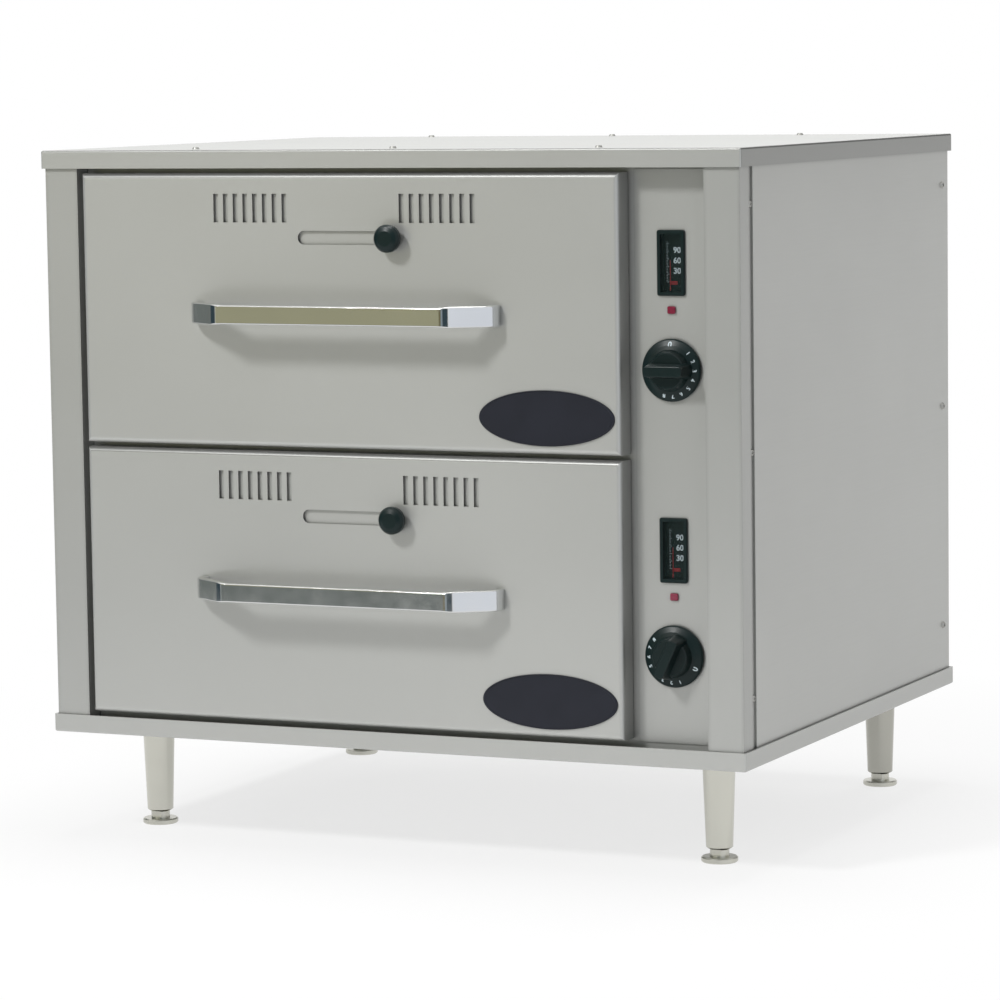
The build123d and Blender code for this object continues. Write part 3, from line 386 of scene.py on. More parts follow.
def moulded_plastic(name, colour, roughness, wear=0.25):
    """Matt moulded plastic, a little lighter on its rubbed edges."""
    finish = Finish(name, colour, roughness)
    finish.surface.inputs["Specular IOR Level"].default_value = 0.25
    finish.vary_colour(finish.noise((24, 24, 24), 3.0, 0.5, 1.0), 0.85, 1.15)
    finish.vary_roughness(finish.noise((90, 90, 90), 3.0, 0.6, 4.0), 0.06)
    finish.bump(finish.noise((1800, 1800, 1800), 2.0, 0.6), 0.00002, 0.5)
    finish.worn_edges(wear)
    return finish.material


def plate_lacquer(name, colour, roughness):
    """Smooth dark lacquer with a faint unevenness."""
    finish = Finish(name, colour, roughness)
    finish.surface.inputs["Specular IOR Level"].default_value = 0.3
    finish.vary_colour(finish.noise((35, 35, 35), 2.0, 0.5, 1.0), 0.92, 1.08)
    finish.bump(finish.noise((240, 240, 240), 2.0, 0.5), 0.000004, 0.3)
    return finish.material


def lamp_plastic(name, colour):
    """Ribbed translucent lens with a weak glow of its own."""
    finish = Finish(name, colour, 0.18)
    finish.surface.inputs["Transmission Weight"].default_value = 0.25
    finish.surface.inputs["Coat Weight"].default_value = 0.6
    finish.surface.inputs["Emission Color"].default_value = (*colour, 1.0)
    finish.surface.inputs["Emission Strength"].default_value = 0.12
    finish.vary_colour(finish.noise((400, 400, 400), 1.0, 0.5), 0.8, 1.15)
    finish.bump(finish.noise((1500, 40, 1500), 1.0, 0.5), 0.00005, 0.5)
    return finish.material


def clear_glass(name):
    """Thin clear pane: mostly see-through, with a faint gloss."""
    finish = Finish(name, (0.02, 0.035, 0.035), 0.03)
    finish.surface.inputs["Alpha"].default_value = 0.16
    finish.surface.inputs["Specular IOR Level"].default_value = 0.4
    finish.bump(finish.noise((120, 120, 120), 1.0, 0.5), 0.00001, 0.2)
    return finish.material


def painted_mark(name, colour):
    """Printed ink with slightly uneven cover."""
    finish = Finish(name, colour, 0.5)
    finish.vary_colour(finish.noise((900, 900, 900), 2.0, 0.6), 0.86, 1.05)
    return finish.material


def mineral_wool(name, colour):
    """Clumped brown fibres."""
    finish = Finish(name, colour, 0.95)
    fibres = finish.noise((260, 900, 260), 5.0, 0.7)
    clumps = finish.noise((45, 45, 45), 4.0, 0.6, 2.0)
    fibre_share = finish.combine("MULTIPLY", fibres, 0.6)
    clump_share = finish.combine("MULTIPLY", clumps, 0.4)
    mixed = finish.combine("ADD", fibre_share, clump_share)
    finish.vary_colour(mixed, 0.6, 1.2)
    finish.bump(mixed, 0.002, 0.9)
    return finish.material


def heater_sheath(name, colour):
    """Oxidised alloy sheath with heat tints along its run."""
    finish = Finish(name, colour, 0.48, 0.75)
    finish.vary_colour(finish.noise((18, 18, 18), 4.0, 0.6, 1.0), 0.55, 1.5)
    finish.vary_roughness(finish.noise((70, 70, 70), 3.0, 0.6), 0.1)
    finish.bump(finish.noise((900, 900, 900), 3.0, 0.6), 0.00004, 0.5)
    return finish.material


def dress(names, material):
    """Gives CAD nodes a finish in their own material slots."""
    for name in names:
        made = nodes[name]
        if not made.material_slots:
            made.data.materials.append(material)
        for slot in made.material_slots:
            slot.material = material


# ---- geometry-node trees -----------------------------------------------------------------
def new_tree(name, inputs):
    """An empty geometry tree with named float, integer, object or material inputs."""
    tree = bpy.data.node_groups.new(name, "GeometryNodeTree")
    tree.interface.new_socket("Geometry", in_out="INPUT", socket_type="NodeSocketGeometry")
    for label, kind, value in inputs:
        socket = tree.interface.new_socket(label, in_out="INPUT", socket_type=kind)
        if value is not None:
            socket.default_value = value
    tree.interface.new_socket("Geometry", in_out="OUTPUT", socket_type="NodeSocketGeometry")
    return tree, tree.nodes.new("NodeGroupInput"), tree.nodes.new("NodeGroupOutput")


def close_tree(tree, given, result, shape):
    realize = tree.nodes.new("GeometryNodeRealizeInstances")
    paint = tree.nodes.new("GeometryNodeSetMaterial")
    tree.links.new(shape, realize.inputs["Geometry"])
    tree.links.new(realize.outputs["Geometry"], paint.inputs["Geometry"])
    tree.links.new(given.outputs["Material"], paint.inputs["Material"])
    tree.links.new(paint.outputs["Geometry"], result.inputs["Geometry"])


def cross_head_tree():
    """Pan heads with a cross recess, one on each point, aimed by the points' own direction."""
    tree, given, result = new_tree("Cross-head screws", [
        ("Head radius", "NodeSocketFloat", 0.0038),
        ("Crown radius", "NodeSocketFloat", 0.0026),
        ("Head height", "NodeSocketFloat", 0.002),
        ("Recess length", "NodeSocketFloat", 0.0042),
        ("Recess width", "NodeSocketFloat", 0.0011),
        ("Material", "NodeSocketMaterial", None),
    ])
    link = tree.links.new
    cone = tree.nodes.new("GeometryNodeMeshCone")
    cone.inputs["Vertices"].default_value = 28
    cone.inputs["Side Segments"].default_value = 3
    link(given.outputs["Crown radius"], cone.inputs["Radius Top"])
    link(given.outputs["Head radius"], cone.inputs["Radius Bottom"])
    link(given.outputs["Head height"], cone.inputs["Depth"])
    cuts = []
    for order in (("Recess length", "Recess width"), ("Recess width", "Recess length")):
        size = tree.nodes.new("ShaderNodeCombineXYZ")
        link(given.outputs[order[0]], size.inputs["X"])
        link(given.outputs[order[1]], size.inputs["Y"])
        link(given.outputs["Head height"], size.inputs["Z"])
        cube = tree.nodes.new("GeometryNodeMeshCube")
        link(size.outputs["Vector"], cube.inputs["Size"])
        lift = tree.nodes.new("ShaderNodeCombineXYZ")
        link(given.outputs["Head height"], lift.inputs["Z"])
        move = tree.nodes.new("GeometryNodeTransform")
        link(cube.outputs["Mesh"], move.inputs["Geometry"])
        link(lift.outputs["Vector"], move.inputs["Translation"])
        cuts.append(move.outputs["Geometry"])
    shape = cone.outputs["Mesh"]
    for cut in cuts:
        carve = tree.nodes.new("GeometryNodeMeshBoolean")
        carve.operation = "DIFFERENCE"
        link(shape, carve.inputs["Mesh 1"])
        link(cut, carve.inputs["Mesh 2"])
        shape = carve.outputs["Mesh"]
    aim = tree.nodes.new("GeometryNodeInputNamedAttribute")
    aim.data_type = "FLOAT_VECTOR"
    aim.inputs["Name"].default_value = "aim"
    turn = tree.nodes.new("GeometryNodeInputNamedAttribute")
    turn.data_type = "FLOAT"
    turn.inputs["Name"].default_value = "turn"
    align = tree.nodes.new("FunctionNodeAlignRotationToVector")
    align.axis = "Z"
    link(aim.outputs["Attribute"], align.inputs["Vector"])
    spin = tree.nodes.new("FunctionNodeAxisAngleToRotation")
    spin.inputs["Axis"].default_value = (0, 0, 1)
    link(turn.outputs["Attribute"], spin.inputs["Angle"])
    both = tree.nodes.new("FunctionNodeRotateRotation")
    both.rotation_space = "LOCAL"
    link(align.outputs["Rotation"], both.inputs["Rotation"])
    link(spin.outputs["Rotation"], both.inputs["Rotate By"])
    place = tree.nodes.new("GeometryNodeInstanceOnPoints")
    link(given.outputs["Geometry"], place.inputs["Points"])
    link(shape, place.inputs["Instance"])
    link(both.outputs["Rotation"], place.inputs["Rotation"])
    close_tree(tree, given, result, place.outputs["Instances"])
    return tree


def tick_tree():
    """A column of short bars, every fifth one longer, going up from the input's first point."""
    tree, given, result = new_tree("Scale ticks", [
        ("Count", "NodeSocketInt", 26),
        ("Pitch", "NodeSocketFloat", 0.001),
        ("Short bar", "NodeSocketFloat", 0.0014),
        ("Long bar", "NodeSocketFloat", 0.0026),
        ("Stroke", "NodeSocketFloat", 0.00028),
        ("Material", "NodeSocketMaterial", None),
    ])
    link = tree.links.new
    repeat = tree.nodes.new("GeometryNodeMeshLine")
    link(given.outputs["Count"], repeat.inputs["Count"])
    step = tree.nodes.new("ShaderNodeCombineXYZ")
    link(given.outputs["Pitch"], step.inputs["Z"])
    link(step.outputs["Vector"], repeat.inputs["Offset"])
    index = tree.nodes.new("GeometryNodeInputIndex")
    fifth = tree.nodes.new("ShaderNodeMath")
    fifth.operation = "MODULO"
    fifth.inputs[1].default_value = 5.0
    link(index.outputs["Index"], fifth.inputs[0])
    test = tree.nodes.new("ShaderNodeMath")
    test.operation = "LESS_THAN"
    test.inputs[1].default_value = 0.5
    link(fifth.outputs[0], test.inputs[0])
    length = tree.nodes.new("ShaderNodeMix")
    link(test.outputs[0], length.inputs["Factor"])
    link(given.outputs["Short bar"], length.inputs["A"])
    link(given.outputs["Long bar"], length.inputs["B"])
    stretch = tree.nodes.new("ShaderNodeCombineXYZ")
    link(length.outputs["Result"], stretch.inputs["X"])
    link(given.outputs["Stroke"], stretch.inputs["Y"])
    link(given.outputs["Stroke"], stretch.inputs["Z"])
    bar = tree.nodes.new("GeometryNodeMeshCube")
    bar.inputs["Size"].default_value = (1, 1, 1)
    anchor = tree.nodes.new("GeometryNodeTransform")
    anchor.inputs["Translation"].default_value = (0.5, 0, 0)
    link(bar.outputs["Mesh"], anchor.inputs["Geometry"])
    place = tree.nodes.new("GeometryNodeInstanceOnPoints")
    link(repeat.outputs["Mesh"], place.inputs["Points"])
    link(anchor.outputs["Geometry"], place.inputs["Instance"])
    link(stretch.outputs["Vector"], place.inputs["Scale"])
    close_tree(tree, given, result, place.outputs["Instances"])
    return tree


def run_tree(name, tree, points, values, aims=None, place=None):
    """Runs a tree on a set of points and returns its result as a plain finished piece."""
    data = bpy.data.meshes.new(name + "_points")
    data.from_pydata(points, [], [])
    turn_step = 0.9
    if aims:
        data.attributes.new("aim", "FLOAT_VECTOR", "POINT")
        data.attributes.new("turn", "FLOAT", "POINT")
        for n, direction in enumerate(aims):
            data.attributes["aim"].data[n].vector = direction
            data.attributes["turn"].data[n].value = turn_step * n
    holder = bpy.data.objects.new(name + "_points", data)
    bpy.context.scene.collection.objects.link(holder)
    modifier = holder.modifiers.new("Tree", "NODES")
    modifier.node_group = tree
    for item in tree.interface.items_tree:
        if item.in_out == "INPUT" and item.name in values:
            modifier[item.identifier] = values[item.name]
    graph = bpy.context.evaluated_depsgraph_get()
    made = bpy.data.meshes.new_from_object(holder.evaluated_get(graph))
    holder.modifiers.remove(modifier)
    bpy.data.objects.remove(holder)
    bpy.data.meshes.remove(data)
    made.name = name
    if place is not None:
        made.transform(place)
    piece = bpy.data.objects.new(name, made)
    bpy.context.scene.collection.objects.link(piece)
    return piece


# ---- settings ----------------------------------------------------------------------------
def colour_property(label, text, default):
    return FloatVectorProperty(
        name=label, description=text, subtype="COLOR", size=3, min=0, max=1, default=default)


def share_property(label, text, default):
    return FloatProperty(name=label, description=text, default=default, min=0, max=1, subtype="FACTOR")


def length_property(label, text, default):
    return FloatProperty(name=label, description=text, default=default, unit="LENGTH", min=0.0)


class WarmerFinishSettings(bpy.types.PropertyGroup):
    """Colours, sheen and painted shade of the cabinet's finishes."""

    steel: colour_property("Steel", "Base colour of the brushed sheet", (0.475, 0.48, 0.463))
    steel_roughness: share_property("Steel roughness", "How dull the brushed sheet is", 0.38)
    steel_metal: share_property("Steel metal share", "Mirror-like share of the brushed sheet", 0.5)
    # A darker copy of the steel for the sheets with an upright grain: painted shade.
    upright_shade_share: share_property("Upright share", "Brightness of the sheets with an upright grain", 0.93)
    # A darker copy of the steel for the side panels: painted shade.
    side_panel_shade: share_property("Side share", "Brightness of the side panels", 0.9)
    bright_metal: colour_property("Bright metal", "Colour of the legs and handles", (0.56, 0.555, 0.5))
    control_plastic: colour_property(
        "Control plastic", "Colour of knobs and gauge cases", (0.004, 0.0125, 0.0125))
    lamp: colour_property("Lamp", "Colour of the pilot lamps", (0.21, 0.01, 0.042))
    plate: colour_property("Plate", "Colour of the blank oval plates", (0.012, 0.0135, 0.021))
    mark: colour_property("Marks", "Colour of the dial and scale marks", (0.6, 0.7, 0.74))


class WarmerDetailSettings(bpy.types.PropertyGroup):
    """Sizes of the small detail."""

    plate_width: length_property("Plate width", "Width of each blank oval plate", 0.141)
    plate_height: length_property("Plate height", "Height of each blank oval plate", 0.0535)
    plate_offset: length_property("Plate offset", "Plate centre right of the drawer's middle", 0.2137)
    plate_rise: length_property("Plate rise", "Plate centre above the drawer front's bottom edge", 0.0344)
    plate_thickness: length_property("Plate thickness", "How far the plate stands proud", 0.0016)
    numeral_height: length_property("Numeral height", "Height of the numerals on the dials", 0.0056)
    zero_height: length_property("Zero height", "Height of the large zero on the dials", 0.0078)
    numerals: IntProperty(
        name="Numerals", description="Highest number on the dials", default=8, min=2, max=12)
    tick_pitch: length_property("Tick pitch", "Spacing of the thermometer ticks", 0.00145)
    recess_width: length_property("Recess width", "Width of the cross recess in the screws", 0.0011)


# ---- finishes shared by the operators ----------------------------------------------------
made_finishes = {}


def finish(name):
    """One shared material for each finish, made when it is first asked for."""
    if name not in made_finishes:
        made_finishes[name] = make_finish(name, bpy.context.scene.warmer_finish)
    return made_finishes[name]


def make_finish(name, settings):
    steel = tuple(settings.steel)
    dull = settings.steel_roughness
    metal = settings.steel_metal
    bright = tuple(settings.bright_metal)
    # Darker copies of the steel: painted shade on the upright sheets and on the side panels.
    upright = tuple(c * settings.upright_shade_share for c in steel)
    side = tuple(c * settings.side_panel_shade for c in steel)
    makers = {
        # The shares after the metal share paint shade on faces to the sides, on upper bends and beside
        # edges.
        "cover": lambda: brushed_steel("Brushed cover", steel, dull, "X", metal, 0.6, bend_shade=0.55),
        "tray": lambda: brushed_steel("Brushed base pan", steel, dull, "X", metal, 0.92),
        "side": lambda: brushed_steel("Brushed side", side, dull, "Y", metal, 1.0, 0.06),
        "drawer": lambda: brushed_steel("Brushed drawer front", steel, dull, "X", metal, 0.7, bend_shade=0.45),
        "sheet across": lambda: brushed_steel("Brushed sheet across", steel, dull, "X", metal),
        "sheet up": lambda: brushed_steel(
            "Brushed sheet upright", upright, dull, "Z", metal, 0.84, edge=0.82),
        "bright": lambda: polished_metal("Bright turned metal", bright, 0.16),
        # A darker copy of the bright metal: painted shade for the rear legs.
        "bright_painted_shade": lambda: polished_metal("Bright metal with painted shade", tuple(c * 0.72 for c in bright), 0.2),
        "foot": lambda: polished_metal("Satin feet", bright, 0.32),
        "handle": lambda: polished_metal("Polished bar", (0.645, 0.65, 0.645), 0.1),
        "pan": lambda: brushed_steel("Drawn pan steel", (0.6, 0.6, 0.585), 0.26, "X", 1.0),
        "zinc": lambda: galvanised("Zinc-coated sheet", (0.5, 0.51, 0.51), 0.38),
        "runner": lambda: galvanised("Zinc-plated runner", (0.56, 0.57, 0.58), 0.28),
        "screw": lambda: polished_metal("Screw heads", (0.34, 0.34, 0.32), 0.36),
        "control": lambda: moulded_plastic("Control plastic", tuple(settings.control_plastic), 0.36),
        "nylon": lambda: moulded_plastic("Gland nylon", (0.03, 0.03, 0.032), 0.45),
        "ceramic": lambda: moulded_plastic("Terminal block", (0.72, 0.69, 0.6), 0.4, 0.05),
        "wool": lambda: mineral_wool("Mineral wool", (0.42, 0.34, 0.19)),
        "sheath": lambda: heater_sheath("Heater sheath", (0.09, 0.085, 0.08)),
        "lamp": lambda: lamp_plastic("Lamp lens", tuple(settings.lamp)),
        "glass": lambda: clear_glass("Clear glass"),
        "mark": lambda: painted_mark("White marks", tuple(settings.mark)),
        "red": lambda: painted_mark("Red marks", (0.55, 0.03, 0.04)),
        "plate": lambda: plate_lacquer("Blank plate lacquer", tuple(settings.plate), 0.42),
    }
    return makers[name]()


# ---- operators ---------------------------------------------------------------------------
class WARMER_OT_cabinet(bpy.types.Operator):
    """Finishes the cabinet's sheet metal, insulation and inner fittings"""

    bl_idname = "warmer.cabinet"
    bl_label = "Dress cabinet"

    def execute(self, context):
        dress(["top_cover"], finish("cover"))
        dress(["base_pan"], finish("tray"))
        dress(["front_frame"], finish("sheet across"))
        dress(["right_side_panel", "left_side_panel"], finish("side"))
        dress(["right_corner_post", "left_corner_post", "control_panel"], finish("sheet up"))
        dress(["back_panel"], finish("zinc"))
        dress([row + "_cavity" for row in ROWS], finish("pan"))
        dress(["insulation_pads"], finish("wool"))
        dress(["terminal_block"], finish("ceramic"))
        dress(["cord_gland"], finish("nylon"))
        dress(["front_left_leg", "front_right_leg"], finish("bright"))
        # The rear legs take the bright metal with painted shade.
        dress(["rear_left_leg", "rear_right_leg"], finish("bright_painted_shade"))
        dress([corner + "_foot" for corner in CORNERS], finish("foot"))
        return {"FINISHED"}


class WARMER_OT_drawers(bpy.types.Operator):
    """Finishes the drawer fronts, handles, shutters, pans and runners"""

    bl_idname = "warmer.drawers"
    bl_label = "Dress drawers"

    def execute(self, context):
        for row in ROWS:
            dress([row + "_drawer_front"], finish("drawer"))
            dress([row + "_vent_shutter"], finish("sheet across"))
            dress([row + "_handle"], finish("handle"))
            dress([row + "_vent_knob"], finish("control"))
            dress([row + "_food_pan"], finish("pan"))
            dress([row + "_drawer_front_liner", row + "_pan_frame"], finish("zinc"))
            runners = ["_outer_runners", "_inner_runners", "_right_middle_runner", "_left_middle_runner"]
            dress([row + name for name in runners], finish("runner"))
            dress([row + "_handle_screws"], finish("runner"))
        return {"FINISHED"}


class WARMER_OT_controls(bpy.types.Operator):
    """Finishes the knobs, thermostats, heaters and pilot lamps"""

    bl_idname = "warmer.controls"
    bl_label = "Dress controls"

    def execute(self, context):
        for row in ROWS:
            dress([row + "_thermostat_knob"], finish("control"))
            dress([row + "_thermostat", row + "_thermostat_shaft"], finish("zinc"))
            dress([row + "_heating_element"], finish("sheath"))
            dress([row + "_pilot_lamp"], finish("lamp"))
        return {"FINISHED"}


class WARMER_OT_plates(bpy.types.Operator):
    """Adds a blank oval plate with a raised rim to each drawer front"""

    bl_idname = "warmer.plates"
    bl_label = "Add blank plates"

    def execute(self, context):
        sizes = context.scene.warmer_detail
        half = sizes.plate_width / 2
        squeeze = sizes.plate_height / sizes.plate_width
        stand = sizes.plate_thickness
        for row in ROWS:
            origin = row_origin(row)
            centre = origin + Vector((sizes.plate_offset, 0, sizes.plate_rise))
            rings = [(half, 0), (half, stand * 0.6), (half - 0.0003, stand * 0.85), (half - 0.0008, stand)]
            rings += [(half - 0.0022, stand), (half - 0.0027, stand * 0.8), (half - 0.003, stand * 0.62)]
            rings += [(half * 0.7, stand * 0.7), (half * 0.35, stand * 0.78), (half * 0.08, stand * 0.8)]
            target = bmesh.new()
            disc_rings(target, centre, rings, 96, squeeze)
            made = piece_from_bmesh(row + "_oval_plate", target, finish("plate"))
            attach(made, row + "_drawer")
        return {"FINISHED"}


class WARMER_OT_dials(bpy.types.Operator):
    """Prints the zero and the numerals on the skirts of the thermostat knobs"""

    bl_idname = "warmer.dials"
    bl_label = "Mark dials"

    turns = {"lower": 115.0, "upper": 0.0}
    first_mark = 48.0
    mark_step = 21.0

    def execute(self, context):
        sizes = context.scene.warmer_detail
        for row in ROWS:
            low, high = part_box(row + "_thermostat_knob")
            knob = (low + high) / 2
            centre = Vector((knob.x, high.y, knob.z))
            target = bmesh.new()
            spots = [(0.0, "0", sizes.zero_height)]
            for n in range(sizes.numerals):
                spots.append((self.first_mark + self.mark_step * n, str(n + 1), sizes.numeral_height))
            for angle, characters, height in spots:
                wrap_numeral(target, characters, height, centre, angle + self.turns[row])
            made = piece_from_bmesh(row + "_dial_numerals", target, finish("mark"))
            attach(made, row + "_thermostat_control")
        return {"FINISHED"}


def skirt_stand(radius):
    """How far the knob's skirt stands out from the panel at a radius: flat, then sloping."""
    flat_radius = 0.0238
    flat_stand = 0.005
    slope = 0.463
    return flat_stand - max(0.0, radius - flat_radius) * slope


def wrap_numeral(target, characters, height, centre, degrees):
    """Lays a numeral on the knob's skirt, its strokes cut finely enough to follow the slope."""
    reach = 0.0243
    step = 0.0006
    sink = 0.00008
    ink = 0.0003
    stroke_gain = 0.00012
    data = text_mesh(characters, height, ink, stroke_gain)
    flat = bmesh.new()
    flat.from_mesh(data)
    bpy.data.meshes.remove(data)
    count = int(height / step) + 2
    for n in range(-count, count + 1):
        pieces = flat.verts[:] + flat.edges[:] + flat.faces[:]
        bmesh.ops.bisect_plane(flat, geom=pieces, plane_co=(0, n * step / 2, 0), plane_no=(0, 1, 0))
    angle = math.radians(degrees)
    across = Vector((math.cos(angle), 0, -math.sin(angle)))
    outward = Vector((math.sin(angle), 0, math.cos(angle)))
    for point in flat.verts:
        side, out, rise = point.co
        radius = math.hypot(side, reach + out)
        stand = skirt_stand(radius) + rise + sink
        point.co = centre + across * side + outward * (reach + out) - Vector((0, stand, 0))
    wrapped = bpy.data.meshes.new("wrapped")
    flat.to_mesh(wrapped)
    flat.free()
    target.from_mesh(wrapped)
    bpy.data.meshes.remove(wrapped)


class WARMER_OT_thermometers(bpy.types.Operator):
    """Rebuilds each thermometer with its own glass, scale plate marks and column"""

    bl_idname = "warmer.thermometers"
    bl_label = "Finish thermometers"

    numeral_shift = 0.0038
    numeral_height = 0.0076
    numeral_pitch = 0.0098
    first_numeral_drop = 0.008
    ink = 0.0002
    stem_gap = 0.0014
    long_tick = 0.0026
    ticks = 27
    ticks_below_first = 7
    red_line = Vector((0.008, 0.0002, 0.0006))
    red_lines = 3
    red_pitch = 0.0011
    red_drop = 0.0205
    column_sides = 16

    def execute(self, context):
        sizes = context.scene.warmer_detail
        ticks = tick_tree()
        for row in ROWS:
            case, glass, tube = islands(row + "_thermometer")
            body = piece_from_bmesh(row + "_thermometer_case", case, finish("control"))
            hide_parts(row + "_thermometer")
            cover = piece_from_bmesh(row + "_thermometer_glass", glass, finish("glass"))
            stem_low = min(v.co.z for v in tube.verts)
            stem_x = sum(v.co.x for v in tube.verts) / len(tube.verts)
            stem_y = sum(v.co.y for v in tube.verts) / len(tube.verts)
            face_y = max(v.co.y for v in tube.verts)
            stem = piece_from_bmesh(row + "_thermometer_tube", tube, finish("glass"))
            column = self.column(row, stem_x, stem_y, stem_low)
            centre = middle(row + "_thermometer")
            numerals = bmesh.new()
            first_z = centre.z - self.first_numeral_drop
            for n, characters in enumerate(("30", "60", "90")):
                z = first_z + self.numeral_pitch * n
                place = facing_front(centre.x + self.numeral_shift, face_y - self.ink / 2, z)
                add_text(numerals, characters, self.numeral_height, self.ink, place, self.ink)
            numbers = piece_from_bmesh(row + "_thermometer_numerals", numerals, finish("mark"))
            tick_x = stem_x - self.stem_gap - self.long_tick
            tick_z = first_z - self.ticks_below_first * sizes.tick_pitch
            start = Matrix.Translation((tick_x, face_y - 0.00012, tick_z))
            values = {"Count": self.ticks, "Pitch": sizes.tick_pitch, "Material": finish("mark")}
            scale = run_tree(row + "_thermometer_ticks", ticks, [(0, 0, 0)], values, place=start)
            band = bmesh.new()
            for n in range(self.red_lines):
                z = centre.z - self.red_drop + self.red_pitch * n
                low = Vector((stem_x - 0.001, face_y - self.ink, z))
                add_bar(band, low, low + self.red_line)
            lines = piece_from_bmesh(row + "_thermometer_red_lines", band, finish("red"))
            for made in (body, cover, stem, column, numbers, scale, lines):
                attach(made, "cabinet")
        return {"FINISHED"}

    def column(self, row, x, y, low):
        """The coloured spirit inside the glass stem, with its bulb at the bottom."""
        target = bmesh.new()
        profile = [(0.0001, 0.0008), (0.00062, 0.0012), (0.00062, 0.0042), (0.0003, 0.005), (0.0003, 0.03)]
        loops = []
        for radius, rise in profile:
            loop = []
            for n in range(self.column_sides):
                angle = 2 * math.pi * n / self.column_sides
                point = (x + radius * math.cos(angle), y + radius * math.sin(angle), low + rise)
                loop.append(target.verts.new(point))
            loops.append(loop)
        for first, second in zip(loops[:-1], loops[1:]):
            for n in range(self.column_sides):
                m = (n + 1) % self.column_sides
                target.faces.new((first[n], first[m], second[m], second[n]))
        target.faces.new(loops[-1])
        target.faces.new(list(reversed(loops[0])))
        bmesh.ops.recalc_face_normals(target, faces=target.faces)
        return piece_from_bmesh(row + "_thermometer_column", target, finish("red"))


def add_bar(target, low, high):
    """A thin printed bar between two corners."""
    corners = []
    for x in (low.x, high.x):
        for y in (low.y, high.y):
            corners += [target.verts.new((x, y, z)) for z in (low.z, high.z)]
    for face in ((0, 1, 3, 2), (4, 6, 7, 5), (0, 4, 5, 1), (2, 3, 7, 6), (0, 2, 6, 4), (1, 5, 7, 3)):
        target.faces.new([corners[n] for n in face])
    bmesh.ops.recalc_face_normals(target, faces=target.faces)


class WARMER_OT_screws(bpy.types.Operator):
    """Gives the cabinet screws pan heads with a cross recess"""

    bl_idname = "warmer.screws"
    bl_label = "Finish screws"

    head_sink = 0.002

    def execute(self, context):
        sizes = context.scene.warmer_detail
        points = []
        aims = []
        for part in islands("cabinet_screws"):
            low = Vector([min(v.co[i] for v in part.verts) for i in range(3)])
            high = Vector([max(v.co[i] for v in part.verts) for i in range(3)])
            span = high - low
            axis = max(range(3), key=lambda i: span[i])
            centre = (low + high) / 2
            outward = Vector((0, 0, 0))
            outward[axis] = 1.0 if centre[axis] > 0 else -1.0
            end = centre.copy()
            end[axis] = (high if centre[axis] > 0 else low)[axis]
            points.append(end - outward * self.head_sink)
            aims.append(outward)
            part.free()
        values = {"Recess width": sizes.recess_width, "Material": finish("screw")}
        made = run_tree("cabinet_screw_heads", cross_head_tree(), points, values, aims)
        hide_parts("cabinet_screws")
        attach(made, "cabinet")
        return {"FINISHED"}


